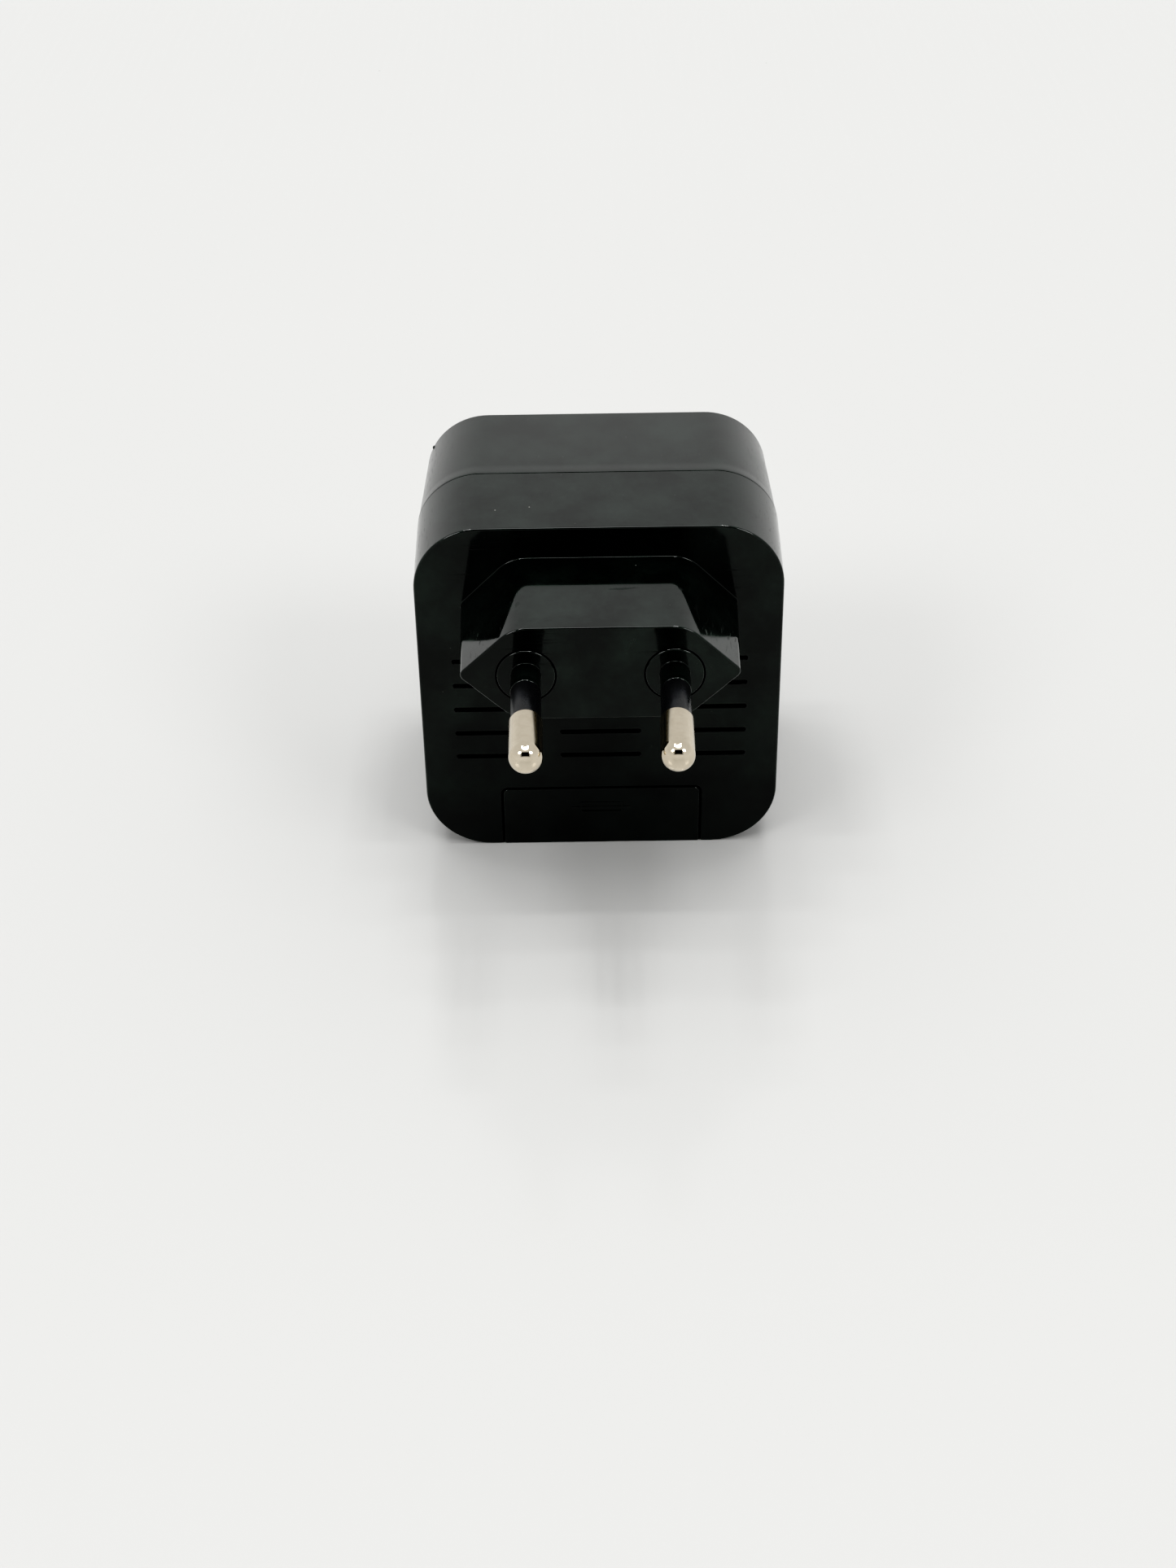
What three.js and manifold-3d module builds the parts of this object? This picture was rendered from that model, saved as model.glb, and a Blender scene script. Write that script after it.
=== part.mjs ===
// Universal travel adapter: a two-pin plug boss on the front, a universal socket with a sprung shutter
// and two charging ports on the rear, and a fuse drawer at the foot of the front face.
// Millimetres. +X right, +Y from the plug side to the socket side, +Z up. The origin lies on the bottom face.
import * as THREE from 'three';
import { mergeVertices } from 'three/addons/utils/BufferGeometryUtils.js';
import Module from 'manifold-3d';

const wasm = await Module();
wasm.setup();

// ---- driving dimensions ----
const BODY = {
  front: -16.3,         // front face of the front shell
  seam: -2.2,           // rear edge of the front shell
  seamGap: 0.2,         // visible joint between the shells
  rear: 16.3,           // rear face of the rear shell
  frontHalf: 23.45,     // half width at the front face
  seamHalf: 23.7,       // half width at the seam, where both shells are widest
  rearHalf: 23.25,      // half width at the rear face
  frontTop: 48.65,      // heights of the top at the same three places
  seamTop: 48.95,
  rearTop: 48.5,
  corner: 8.65,         // corner radius of the front outline
  wall: 2.0,
  arcSteps: 7,
};
const GAP = 0.3;        // running and assembly clearance
const INSET = { cavity: 2.25, tongue: 1.3, rebate: 1.0 };  // drawn in from the outline at the seam
const TONGUE = { front: 1.5, rear: 1.8, column: 1.4 };      // how far these reach past the seam
const LEDGE = { inner: 19.6, outer: 21.8, back: -4, bottom: 10.1, top: 10.9 };  // carries the board's edge
const BOSS = {
  z: 37.6,              // height of the boss's middle
  length: 16.4,         // how far it stands out of the front face
  faceHalf: 17.4,       // half width across the side points, at the face and at the base
  baseHalf: 17.94,
  faceTop: 6.5,         // half height at the face and at the base
  baseTop: 6.86,
  flatHalf: 10.57,      // half length of the flat top edge before its corners are rounded
  topRadius: 4.6,
  sideRadius: 1.2,
  coreHalf: 4.2,        // hollow between the pins
  coreRise: 4.4,
  skin: 2.2,
};
const PIN = {
  x: 9.03,              // half spacing at the boss's face
  z: 37.4,
  tiltDeg: 0.84,        // the pins lean towards each other
  length: 19,
  radius: 2.0,
  coreRadius: 1.2,
  tailRadius: 1.0,
  tail: 24.1,           // how far the tail reaches in from the boss's face
  collar: 3.8,          // length of the bush's collar
  collarRadius: 1.85,
  sleeveEnd: 10.4,
  sleeveRadius: 1.8,
  discRadius: 3.6,
  flangeRadius: 4.7,
  flangeDepth: 1.9,     // from the front wall's inner side to the back of the flange
};
const CLAMP = { half: 15.5, front: -12.1, back: -10.7, bottom: 32.4, top: 42.4, hole: 1.7 };
const BUSBAR = { front: -9.65, back: -4.75, top: 40, bend: 31.6, half: 2.5, sheet: 0.5, hole: 1.4 };
const VENT = { rows: 5, top: 29.25, pitch: 3.7, height: 0.6, half: 5.3, columns: [-13.8, 0, 13.8] };
const DRAWER = { half: 13.2, top: 8.95, corner: 0.8, panel: 1.9, back: -5.2, floor: 1.2, side: 1.6 };
const CRADLE = { half: 4.4, reach: 4, foot: 0.5, stop: 2 };
const FUSE = {
  y: -10.4,
  z: 4.9,
  half: 10,             // half length over the caps
  bodyRadius: 2.4,
  capRadius: 2.6,
  capLength: 5,
  neck: 1.3,            // radius of the tube's ends, and of the caps' bores that take them
  bore: 1.6,
};
const CLIP = { inner: 5.8, outer: 9.4, mouth: -12.2, sheet: 0.4, leg: 0.8 };
const BAY = { wall: 1.1, back: -3.6, bottom: 2.3, top: 10.4, room: 9.3, slot: [6.2, 9.0, -7.9, -6.7] };
const BOARD = { half: 20, bottom: 11.1, top: 12.6, front: -13.6, back: 13.4 };
const FACE = {
  half: 17.9,           // faceplate, as seen through the rear shell's window
  bottom: 13.6,
  top: 45.4,
  corner: 3.7,
  outer: 16.1,
  inner: 13.0,
  flange: 1.1,
};
const SOCKET = { z: 19.6, earthZ: 41.8, earthHalf: 4.5, earthRise: 2.4 };
const APERTURE = {
  roundX: 9.5,          // round hole for this object's own kind of pin
  roundRadius: 2.7,
  flat: [7.4, 14.8],    // wide hole, from and to along X
  flatRise: 2.5,
  upright: [5.5, 7.7],
  uprightRise: 4.1,
};
const RIB = { inner: 15.9, outer: 16.9 };                   // guides for the shutter, behind the faceplate
const SEAT = { half: 2, bottom: 39.1, top: 40.3 };          // the springs' upper seats
const CARRIER = {
  half: 17.4,
  front: -4.0,
  back: 10.1,
  bottom: 13.4,
  top: 25.4,
  cell: [4.8, 16.0],    // room for a contact, from and to along X
  slot: [9.0, 12.0],    // hole for the contact's leg
};
const CONTACT = { inner: 5.3, outer: 15.5, sheet: 0.4, leg: [9.5, 11.5] };
const SHUTTER = {
  half: 15.5,
  bottom: 14.6,
  top: 24.8,
  back: 10.5,
  front: 12.6,
  foot: 0.8,            // thickness at the bottom of the sloping side
  brow: 1.6,            // height of the upright edge over it
  notch: 3.6,
};
const SPRING = { x: 12.4, y: 11.6, from: 25.0, to: 38.8, radius: 1.2, wire: 0.22, turns: 7, stepsPerTurn: 7 };
const USB = { x: 7.6, half: 6.55, bottom: 5.2, top: 10.9, back: 2.3, mouth: 16.2, sheet: 0.4, corner: 0.6 };
const TONGUE_BLOCK = { half: 5.8, back: 3.0, front: 6.5, bottom: 5.9, top: 10.2 };
const TONGUE_BLADE = { half: 5.5, back: 6, front: 14.6, bottom: 8.0, top: 9.9 };
const COLUMN = { radius: 2.5, tube: 3.4 };                  // round the case screws, front and rear
const SCREW = { x: 18.0, z: 7.0, shank: 1.2, head: 2.2, headInner: 12.5, headOuter: 14.3, tip: -9.5 };

// ---- from geometry to solids and back ----
function signedVolume(points, index) {
  const a = new THREE.Vector3();
  const b = new THREE.Vector3();
  const c = new THREE.Vector3();
  let sum = 0;
  for (let i = 0; i < index.length; i += 3) {
    a.fromArray(points, 3 * index[i]);
    b.fromArray(points, 3 * index[i + 1]);
    c.fromArray(points, 3 * index[i + 2]);
    sum += a.dot(b.cross(c));
  }
  return sum / 6;
}

function solid(geometry) {
  const bare = geometry.clone();
  bare.deleteAttribute('normal');
  bare.deleteAttribute('uv');
  const merged = mergeVertices(bare, 1e-4);
  const points = new Float32Array(merged.attributes.position.array);
  const index = new Uint32Array(merged.index.array);
  if (signedVolume(points, index) < 0) index.reverse();
  return new wasm.Manifold(new wasm.Mesh({ numProp: 3, vertProperties: points, triVerts: index }));
}

function geometryOf(body) {
  const mesh = body.getMesh();
  const geometry = new THREE.BufferGeometry();
  geometry.setAttribute('position', new THREE.BufferAttribute(new Float32Array(mesh.vertProperties), 3));
  geometry.setIndex(new THREE.BufferAttribute(new Uint32Array(mesh.triVerts), 1));
  geometry.computeVertexNormals();
  return geometry;
}

const join = (...bodies) => bodies.reduce((sum, body) => sum.add(body));
const cut = (first, ...bodies) => bodies.reduce((rest, body) => rest.subtract(body), first);

// ---- basic shapes ----
function box(x0, x1, y0, y1, z0, z1) {
  const geometry = new THREE.BoxGeometry(x1 - x0, y1 - y0, z1 - z0);
  return solid(geometry.translate((x0 + x1) / 2, (y0 + y1) / 2, (z0 + z1) / 2));
}

function rodY(radius, y0, y1, x, z, sides = 16) {
  const geometry = new THREE.CylinderGeometry(radius, radius, y1 - y0, sides);
  return solid(geometry.translate(x, (y0 + y1) / 2, z));
}

function rodX(radius, x0, x1, y, z, sides = 16) {
  const geometry = new THREE.CylinderGeometry(radius, radius, x1 - x0, sides);
  return solid(geometry.rotateZ(Math.PI / 2).translate((x0 + x1) / 2, y, z));
}

// The two places, in rising order, that mirror a pair of distances to one side of the middle.
function sided(side, near, far) {
  return side > 0 ? [near, far] : [-far, -near];
}

// Outline in X and Z with a quarter circle at each corner.
function roundedRect(half, bottom, top, radius, centre = 0) {
  const shape = new THREE.Shape();
  const left = centre - half;
  const right = centre + half;
  shape.moveTo(left + radius, bottom);
  shape.lineTo(right - radius, bottom);
  shape.absarc(right - radius, bottom + radius, radius, -Math.PI / 2, 0);
  shape.lineTo(right, top - radius);
  shape.absarc(right - radius, top - radius, radius, 0, Math.PI / 2);
  shape.lineTo(left + radius, top);
  shape.absarc(left + radius, top - radius, radius, Math.PI / 2, Math.PI);
  shape.lineTo(left, bottom + radius);
  shape.absarc(left + radius, bottom + radius, radius, Math.PI, 1.5 * Math.PI);
  return shape;
}

// Closed outline through the given corners, each rounded by its own radius.
function roundedPolygon(corners, radii) {
  const shape = new THREE.Shape();
  corners.forEach((corner, i) => {
    const before = corners[(i + corners.length - 1) % corners.length];
    const after = corners[(i + 1) % corners.length];
    const toBefore = before.clone().sub(corner).normalize();
    const toAfter = after.clone().sub(corner).normalize();
    const halfAngle = Math.acos(toBefore.dot(toAfter)) / 2;
    const reach = radii[i] / Math.tan(halfAngle);
    const start = corner.clone().addScaledVector(toBefore, reach);
    const end = corner.clone().addScaledVector(toAfter, reach);
    if (i === 0) shape.moveTo(start.x, start.y);
    else shape.lineTo(start.x, start.y);
    shape.quadraticCurveTo(corner.x, corner.y, end.x, end.y);
  });
  shape.closePath();
  return shape;
}

// Shape in X and Z, extruded from y0 to y1.
function alongY(shape, y0, y1, curveSegments = BODY.arcSteps) {
  const geometry = new THREE.ExtrudeGeometry(shape, { depth: y1 - y0, bevelEnabled: false, curveSegments });
  return geometry.rotateX(Math.PI / 2).translate(0, y1, 0);
}

// Shape in Y and Z, extruded from x0 to x1.
function alongX(shape, x0, x1, curveSegments = 6) {
  const geometry = new THREE.ExtrudeGeometry(shape, { depth: x1 - x0, bevelEnabled: false, curveSegments });
  const turn = new THREE.Matrix4().makeBasis(
    new THREE.Vector3(0, 1, 0), new THREE.Vector3(0, 0, 1), new THREE.Vector3(1, 0, 0));
  return geometry.applyMatrix4(turn).translate(x0, 0, 0);
}

// Scales the section in X and Z with its place along Y, about the point (0, zCentre).
function drafted(geometry, y0, y1, xScale, zScale, zCentre = 0) {
  const place = geometry.attributes.position;
  for (let i = 0; i < place.count; i += 1) {
    const t = (place.getY(i) - y0) / (y1 - y0);
    place.setX(i, place.getX(i) * THREE.MathUtils.lerp(xScale[0], xScale[1], t));
    const z = zCentre + (place.getZ(i) - zCentre) * THREE.MathUtils.lerp(zScale[0], zScale[1], t);
    place.setZ(i, z);
  }
  return geometry;
}

// Sheet-metal profile: an open line in Y and Z given a thickness.
function strip(points, thickness) {
  const line = points.map(([y, z]) => new THREE.Vector2(y, z));
  const offsets = line.map((point, i) => {
    const before = line[Math.max(i - 1, 0)];
    const after = line[Math.min(i + 1, line.length - 1)];
    const inward = point.clone().sub(before).normalize();
    const outward = after.clone().sub(point).normalize();
    if (i === 0) inward.copy(outward);
    if (i === line.length - 1) outward.copy(inward);
    const along = inward.clone().add(outward).normalize();
    const stretch = thickness / 2 / Math.max(along.dot(inward), 0.5);
    return new THREE.Vector2(-along.y, along.x).multiplyScalar(stretch);
  });
  const left = line.map((point, i) => point.clone().add(offsets[i]));
  const right = line.map((point, i) => point.clone().sub(offsets[i])).reverse();
  return new THREE.Shape([...left, ...right]);
}

function lathe(profile, sides = 24) {
  return new THREE.LatheGeometry(profile.map(([r, y]) => new THREE.Vector2(r, y)), sides);
}

// The body's outline at the seam, drawn in by an inset.
function outline(inset) {
  const half = BODY.seamHalf - inset;
  return roundedRect(half, inset, BODY.seamTop - inset, BODY.corner - inset);
}

// ---- materials ----
const finish = (color, roughness, metalness) => (
  new THREE.MeshStandardMaterial({ color, roughness, metalness }));
const shellBlack = finish(0x0c0d0d, 0.18, 0);
const sleeveGrey = finish(0x17181a, 0.6, 0);
const innerBlack = finish(0x1a1b1c, 0.5, 0);
const nickel = finish(0xc9c4bb, 0.18, 1);
const brass = finish(0xb8964f, 0.35, 1);
const steel = finish(0xa7a9ab, 0.35, 1);
const ceramic = finish(0xe4e0d6, 0.55, 0);
const boardGreen = finish(0x1e5a34, 0.55, 0);
const ferrite = finish(0x35363a, 0.7, 0);
const tapeYellow = finish(0xd2b13c, 0.5, 0);
const capBlue = finish(0x2b4c8c, 0.4, 0);

const adapter = new THREE.Group();

function add(name, body, material, parent = adapter) {
  const mesh = new THREE.Mesh(geometryOf(body), material.clone());
  mesh.name = name;
  parent.add(mesh);
  return mesh;
}

// ---- front shell ----
function frontOuter() {
  const shape = roundedRect(BODY.frontHalf, 0, BODY.frontTop, BODY.corner);
  const scaleX = [1, BODY.seamHalf / BODY.frontHalf];
  const scaleZ = [1, BODY.seamTop / BODY.frontTop];
  return solid(drafted(alongY(shape, BODY.front, BODY.seam), BODY.front, BODY.seam, scaleX, scaleZ));
}

function boss() {
  const { faceHalf, faceTop, flatHalf, topRadius, sideRadius } = BOSS;
  const corner = (x, z) => new THREE.Vector2(x, BOSS.z + z);
  const corners = [
    corner(faceHalf, 0), corner(flatHalf, faceTop), corner(-flatHalf, faceTop),
    corner(-faceHalf, 0), corner(-flatHalf, -faceTop), corner(flatHalf, -faceTop),
  ];
  const radii = [sideRadius, topRadius, topRadius, sideRadius, topRadius, topRadius];
  const start = BODY.front - BOSS.length;
  const end = BODY.front + 1;
  const grow = (end - start) / BOSS.length;
  const scaleX = [1, 1 + (BOSS.baseHalf / faceHalf - 1) * grow];
  const scaleZ = [1, 1 + (BOSS.baseTop / faceTop - 1) * grow];
  const geometry = alongY(roundedPolygon(corners, radii), start, end, 4);
  return solid(drafted(geometry, start, end, scaleX, scaleZ, BOSS.z));
}

function vents() {
  const slots = [];
  for (let row = 0; row < VENT.rows; row += 1) {
    const z = VENT.top - row * VENT.pitch;
    for (const x of VENT.columns) {
      const rise = VENT.height / 2;
      const shape = roundedRect(VENT.half, z - rise, z + rise, rise - 0.02, x);
      slots.push(solid(alongY(shape, BODY.front - 1, BODY.front + BODY.wall + 1, 1)));
    }
  }
  return join(...slots);
}

function drawerHole() {
  const half = DRAWER.half + GAP;
  const shape = roundedRect(half, -20, DRAWER.top + GAP, DRAWER.corner + GAP);
  return solid(alongY(shape, BODY.front - 1, DRAWER.back + GAP, 4));
}

function frontShell() {
  const inner = BODY.front + BODY.wall;
  const face = BODY.front - BOSS.length;
  const cavity = solid(alongY(outline(INSET.cavity), inner, BODY.seam + 5));
  const tongue = solid(alongY(outline(INSET.tongue), BODY.seam - 1, BODY.seam + TONGUE.front));
  let body = cut(join(frontOuter(), tongue), cavity);
  for (const side of [-1, 1]) {
    const [x0, x1] = sided(side, LEDGE.inner, LEDGE.outer);
    const ledge = box(x0, x1, inner - 0.5, LEDGE.back, LEDGE.bottom, LEDGE.top);
    const column = rodY(COLUMN.radius, inner - 0.5, BODY.seam + TONGUE.column, side * SCREW.x, SCREW.z);
    body = join(body, ledge, column);
  }
  body = cut(join(body, boss()), vents(), drawerHole());
  const rise = BOSS.coreRise;
  const core = box(-BOSS.coreHalf, BOSS.coreHalf, face + BOSS.skin, inner + 1, BOSS.z - rise, BOSS.z + rise);
  body = cut(body, core);
  for (const side of [-1, 1]) {
    const bore = rodY(PIN.discRadius + GAP, face - 1, inner + 1, side * PIN.x, PIN.z, 24);
    const pilot = rodY(SCREW.shank + GAP, SCREW.tip - 1, 0, side * SCREW.x, SCREW.z);
    body = cut(body, bore, pilot);
  }
  return body;
}

// ---- rear shell ----
function rearOuter() {
  const start = BODY.seam + BODY.seamGap;
  const shape = roundedRect(BODY.seamHalf, 0, BODY.seamTop, BODY.corner);
  const scaleX = [1, BODY.rearHalf / BODY.seamHalf];
  const scaleZ = [1, BODY.rearTop / BODY.seamTop];
  return solid(drafted(alongY(shape, start, BODY.rear), start, BODY.rear, scaleX, scaleZ));
}

function rearShell() {
  const inner = BODY.rear - BODY.wall;
  const rebate = solid(alongY(outline(INSET.rebate), BODY.seam - 1, BODY.seam + TONGUE.rear));
  const cavity = solid(alongY(outline(INSET.cavity), BODY.seam - 1, inner));
  const window = roundedRect(FACE.half + GAP, FACE.bottom - GAP, FACE.top + GAP, FACE.corner + GAP);
  let body = cut(rearOuter(), rebate, cavity, solid(alongY(window, inner - 1, BODY.rear + 1, 5)));
  for (const side of [-1, 1]) {
    const x = side * SCREW.x;
    const tube = rodY(COLUMN.tube, BODY.seam + TONGUE.rear, inner + 0.5, x, SCREW.z);
    const clearance = rodY(SCREW.shank + GAP, -6, 13, x, SCREW.z);
    const counterbore = rodY(SCREW.head + 0.35, SCREW.headInner - GAP, BODY.rear + 1, x, SCREW.z);
    const port = roundedRect(USB.half + GAP, USB.bottom - GAP, USB.top + GAP, 0.9, side * USB.x);
    body = cut(join(body, tube), clearance, counterbore, solid(alongY(port, inner - 1, BODY.rear + 1, 3)));
  }
  return body;
}

// ---- socket ----
// One live or neutral aperture: a round hole, a wide flat one and an upright one in one outline.
function aperture(side) {
  const y0 = FACE.inner - 1;
  const y1 = FACE.outer + 1;
  const { roundX, roundRadius, flatRise, uprightRise } = APERTURE;
  const [flat0, flat1] = sided(side, ...APERTURE.flat);
  const [upright0, upright1] = sided(side, ...APERTURE.upright);
  return join(
    rodY(roundRadius, y0, y1, side * roundX, SOCKET.z, 20),
    box(flat0, flat1, y0, y1, SOCKET.z - flatRise, SOCKET.z + flatRise),
    box(upright0, upright1, y0, y1, SOCKET.z - uprightRise, SOCKET.z + uprightRise));
}

function faceplate() {
  const plate = roundedRect(FACE.half, FACE.bottom, FACE.top, FACE.corner);
  const flange = roundedRect(FACE.half + FACE.flange, FACE.bottom - 0.7, FACE.top + 0.8, FACE.corner + 1.5);
  const flangeFront = BODY.rear - BODY.wall - GAP;
  let body = join(
    solid(alongY(plate, FACE.inner, FACE.outer, 5)),
    solid(alongY(flange, FACE.inner, flangeFront, 5)));
  const { earthHalf, earthRise, earthZ } = SOCKET;
  const earth = box(
    -earthHalf, earthHalf, FACE.inner - 1, FACE.outer + 1, earthZ - earthRise, earthZ + earthRise);
  body = cut(body, earth, aperture(-1), aperture(1));
  const behind = SHUTTER.back - 0.1;
  for (const side of [-1, 1]) {
    const [x0, x1] = sided(side, RIB.inner, RIB.outer);
    const rib = box(x0, x1, behind, FACE.inner + 0.5, SHUTTER.bottom, SPRING.to + GAP);
    const middle = side * SPRING.x;
    const seat = box(middle - SEAT.half, middle + SEAT.half, behind, FACE.inner + 0.5, SEAT.bottom, SEAT.top);
    body = join(body, rib, seat);
  }
  return body;
}

// The shutter's outer side slopes, so that entering pins lift it.
function shutter() {
  const { back, front, bottom, top, half } = SHUTTER;
  const profile = new THREE.Shape([
    new THREE.Vector2(back, bottom), new THREE.Vector2(back + SHUTTER.foot, bottom),
    new THREE.Vector2(front, top - SHUTTER.brow), new THREE.Vector2(front, top), new THREE.Vector2(back, top),
  ]);
  const body = solid(alongX(profile, -half, half));
  const notch = box(-SHUTTER.notch, SHUTTER.notch, back - 1, front + 1, bottom - 1, top - 4.2);
  return cut(body, notch);
}

function spring(side) {
  const path = new THREE.CatmullRomCurve3(helixPoints(side));
  const section = new THREE.Shape();
  section.absarc(0, 0, SPRING.wire, 0, 2 * Math.PI);
  const steps = SPRING.turns * SPRING.stepsPerTurn;
  const shape = { steps, extrudePath: path, curveSegments: 4, bevelEnabled: false };
  return solid(new THREE.ExtrudeGeometry(section, shape));
}

function helixPoints(side) {
  const points = [];
  const count = SPRING.turns * SPRING.stepsPerTurn;
  const rise = SPRING.to - SPRING.from - 2 * SPRING.wire;
  for (let i = 0; i <= count; i += 1) {
    const angle = 2 * Math.PI * i / SPRING.stepsPerTurn;
    points.push(new THREE.Vector3(
      side * SPRING.x + SPRING.radius * Math.cos(angle),
      SPRING.y + SPRING.radius * Math.sin(angle),
      SPRING.from + SPRING.wire + rise * i / count));
  }
  return points;
}

function carrier() {
  const { half, front, back, bottom, top } = CARRIER;
  let body = box(-half, half, front, back, bottom, top);
  for (const side of [-1, 1]) {
    const [cell0, cell1] = sided(side, ...CARRIER.cell);
    const [slot0, slot1] = sided(side, ...CARRIER.slot);
    const cell = box(cell0, cell1, front + 1, back + 1, bottom + 1.5, top - 1.4);
    const slot = box(slot0, slot1, front + 1, front + 2.1, bottom - 1, bottom + 2);
    body = cut(body, cell, slot);
  }
  return body;
}

// Forked contact: two bowed leaves on a common back, and a leg down to the board.
function socketContact(side) {
  const z = SOCKET.z;
  const upper = [[9.5, z + 3.4], [4.6, z + 2.5], [-0.4, z + 3.6], [-2.4, z + 3.6]];
  const lower = upper.map(([y, height]) => [y, 2 * z - height]).reverse();
  const fork = strip([...upper, ...lower], CONTACT.sheet);
  const [leg0, leg1] = sided(side, ...CONTACT.leg);
  const leg = box(leg0, leg1, -2.6, -2.2, BOARD.top + 0.2, z - 3);
  return join(solid(alongX(fork, ...sided(side, CONTACT.inner, CONTACT.outer))), leg);
}

// ---- plug pins ----
function pinBody() {
  const tipStart = PIN.length - 2;
  return lathe([
    [0, PIN.tail], [PIN.tailRadius, PIN.tail], [PIN.tailRadius, 6], [PIN.coreRadius, 4],
    [PIN.coreRadius, -PIN.sleeveEnd + GAP], [PIN.radius - 0.15, -PIN.sleeveEnd + GAP / 2],
    [PIN.radius, -PIN.sleeveEnd], [PIN.radius, -tipStart], [1.88, -tipStart - 0.75],
    [1.5, -tipStart - 1.4], [0.85, -tipStart - 1.85], [0, -PIN.length],
  ], 24);
}

function pinSleeve() {
  const inner = PIN.coreRadius + GAP;
  const start = -PIN.collar - 0.15;
  const end = -PIN.sleeveEnd + 0.5;
  return lathe([
    [inner, start], [PIN.sleeveRadius, start], [PIN.sleeveRadius, end], [inner, end], [inner, start],
  ], 24);
}

// The bush's disc lies flush in the boss's face. Its collar stands on the pin, and its flange holds it.
function pinBush(side) {
  const face = BODY.front - BOSS.length;
  const hole = PIN.coreRadius + GAP + 0.1;
  const inner = BODY.front + BODY.wall;
  const profile = [
    [hole, face - PIN.collar], [PIN.collarRadius, face - PIN.collar], [PIN.collarRadius, face],
    [PIN.discRadius, face], [PIN.discRadius, inner + GAP], [PIN.flangeRadius, inner + GAP],
    [PIN.flangeRadius, inner + PIN.flangeDepth], [hole, inner + PIN.flangeDepth], [hole, face - PIN.collar],
  ];
  return solid(lathe(profile, 24).translate(side * PIN.x, 0, PIN.z));
}

function clampPlate() {
  const { half, front, back, bottom, top, hole } = CLAMP;
  let body = box(-half, half, front, back, bottom, top);
  for (const side of [-1, 1]) {
    body = cut(body, rodY(hole, front - 1, back + 1, side * (PIN.x + 0.3), PIN.z));
  }
  return body;
}

// Bent strip from a pin's tail down to the board, behind the tall components.
function busbar(side) {
  const { front, back, top, bend, half, sheet, hole } = BUSBAR;
  const path = [[front, top], [front, bend], [back, bend], [back, BOARD.top + 0.2]];
  const middle = side * (PIN.x + 0.33);
  const bar = solid(alongX(strip(path, sheet), middle - half, middle + half));
  return cut(bar, rodY(hole, front - 1, front + 1, middle, PIN.z));
}

function addPins() {
  for (const [side, label] of [[-1, 'left'], [1, 'right']]) {
    const stand = new THREE.Group();
    stand.position.set(side * PIN.x, BODY.front - BOSS.length, PIN.z);
    stand.rotation.z = -side * THREE.MathUtils.degToRad(PIN.tiltDeg);
    adapter.add(stand);
    add(`pin_${label}`, solid(pinBody()), nickel, stand);
    add(`pin_sleeve_${label}`, solid(pinSleeve()), sleeveGrey, stand);
    add(`pin_bush_${label}`, pinBush(side), shellBlack);
  }
}

// ---- fuse drawer ----
function fuseDrawer() {
  const { half, top, corner, panel, back, floor, side } = DRAWER;
  const outlineShape = roundedRect(half, -corner, top, corner);
  const front = solid(alongY(outlineShape, BODY.front, BODY.front + panel, 4));
  const below = box(-half - 1, half + 1, BODY.front - 1, 0, -5, 0);
  const tray = box(-half, half, BODY.front + panel - 0.5, back, 0, floor);
  let body = join(cut(front, below), tray);
  for (const hand of [-1, 1]) {
    const wallX = hand > 0 ? half - side : -half;
    const wall = box(wallX, wallX + side, BODY.front + panel - 0.5, back, 0, top - 0.5);
    const stopX = hand > 0 ? FUSE.half + 0.4 : -half + side - 0.5;
    const stopEnd = stopX + half - side - FUSE.half + 0.1;
    const stop = box(stopX, stopEnd, FUSE.y - CRADLE.stop, FUSE.y + CRADLE.stop, CRADLE.foot, FUSE.z);
    body = join(body, wall, stop);
  }
  const cradleFront = BODY.front + panel - 0.5;
  const cradle = box(-CRADLE.half, CRADLE.half, cradleFront, FUSE.y + CRADLE.reach, CRADLE.foot, FUSE.z);
  const groove = rodX(FUSE.bodyRadius + GAP, -5, 5, FUSE.y, FUSE.z);
  return join(body, cut(cradle, groove));
}

function fuseCap(side) {
  const innerEnd = FUSE.half - FUSE.capLength;
  const x0 = side > 0 ? innerEnd : -FUSE.half;
  const cap = rodX(FUSE.capRadius, x0, x0 + FUSE.capLength, FUSE.y, FUSE.z);
  const stub = side > 0 ? x0 : x0 + 1;
  return cut(cap, rodX(FUSE.bore, stub - 0.1, stub + FUSE.capLength - 0.9, FUSE.y, FUSE.z));
}

// The ceramic tube has a thinner neck at each end that the caps sit on.
function fuseTube() {
  const reach = FUSE.half - FUSE.capLength;
  const neck = rodX(FUSE.neck, -FUSE.half + 1.3, FUSE.half - 1.3, FUSE.y, FUSE.z);
  return join(rodX(FUSE.bodyRadius, -reach + GAP, reach - GAP, FUSE.y, FUSE.z), neck);
}

function fuseClip(side) {
  const reach = FUSE.capRadius + GAP + 0.2;
  const backY = FUSE.y + reach;
  const high = FUSE.z + reach;
  const low = FUSE.z - reach;
  const path = [[CLIP.mouth, high], [backY, high], [backY, low], [CLIP.mouth, low]];
  const [x0, x1] = sided(side, CLIP.inner, CLIP.outer);
  const fork = solid(alongX(strip(path, CLIP.sheet), x0, x1));
  const half = CLIP.sheet / 2;
  const leg = box(x0 + CLIP.leg, x1 - CLIP.leg, backY - half, backY + half, FUSE.z, BOARD.bottom - 0.1);
  return join(fork, leg);
}

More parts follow.
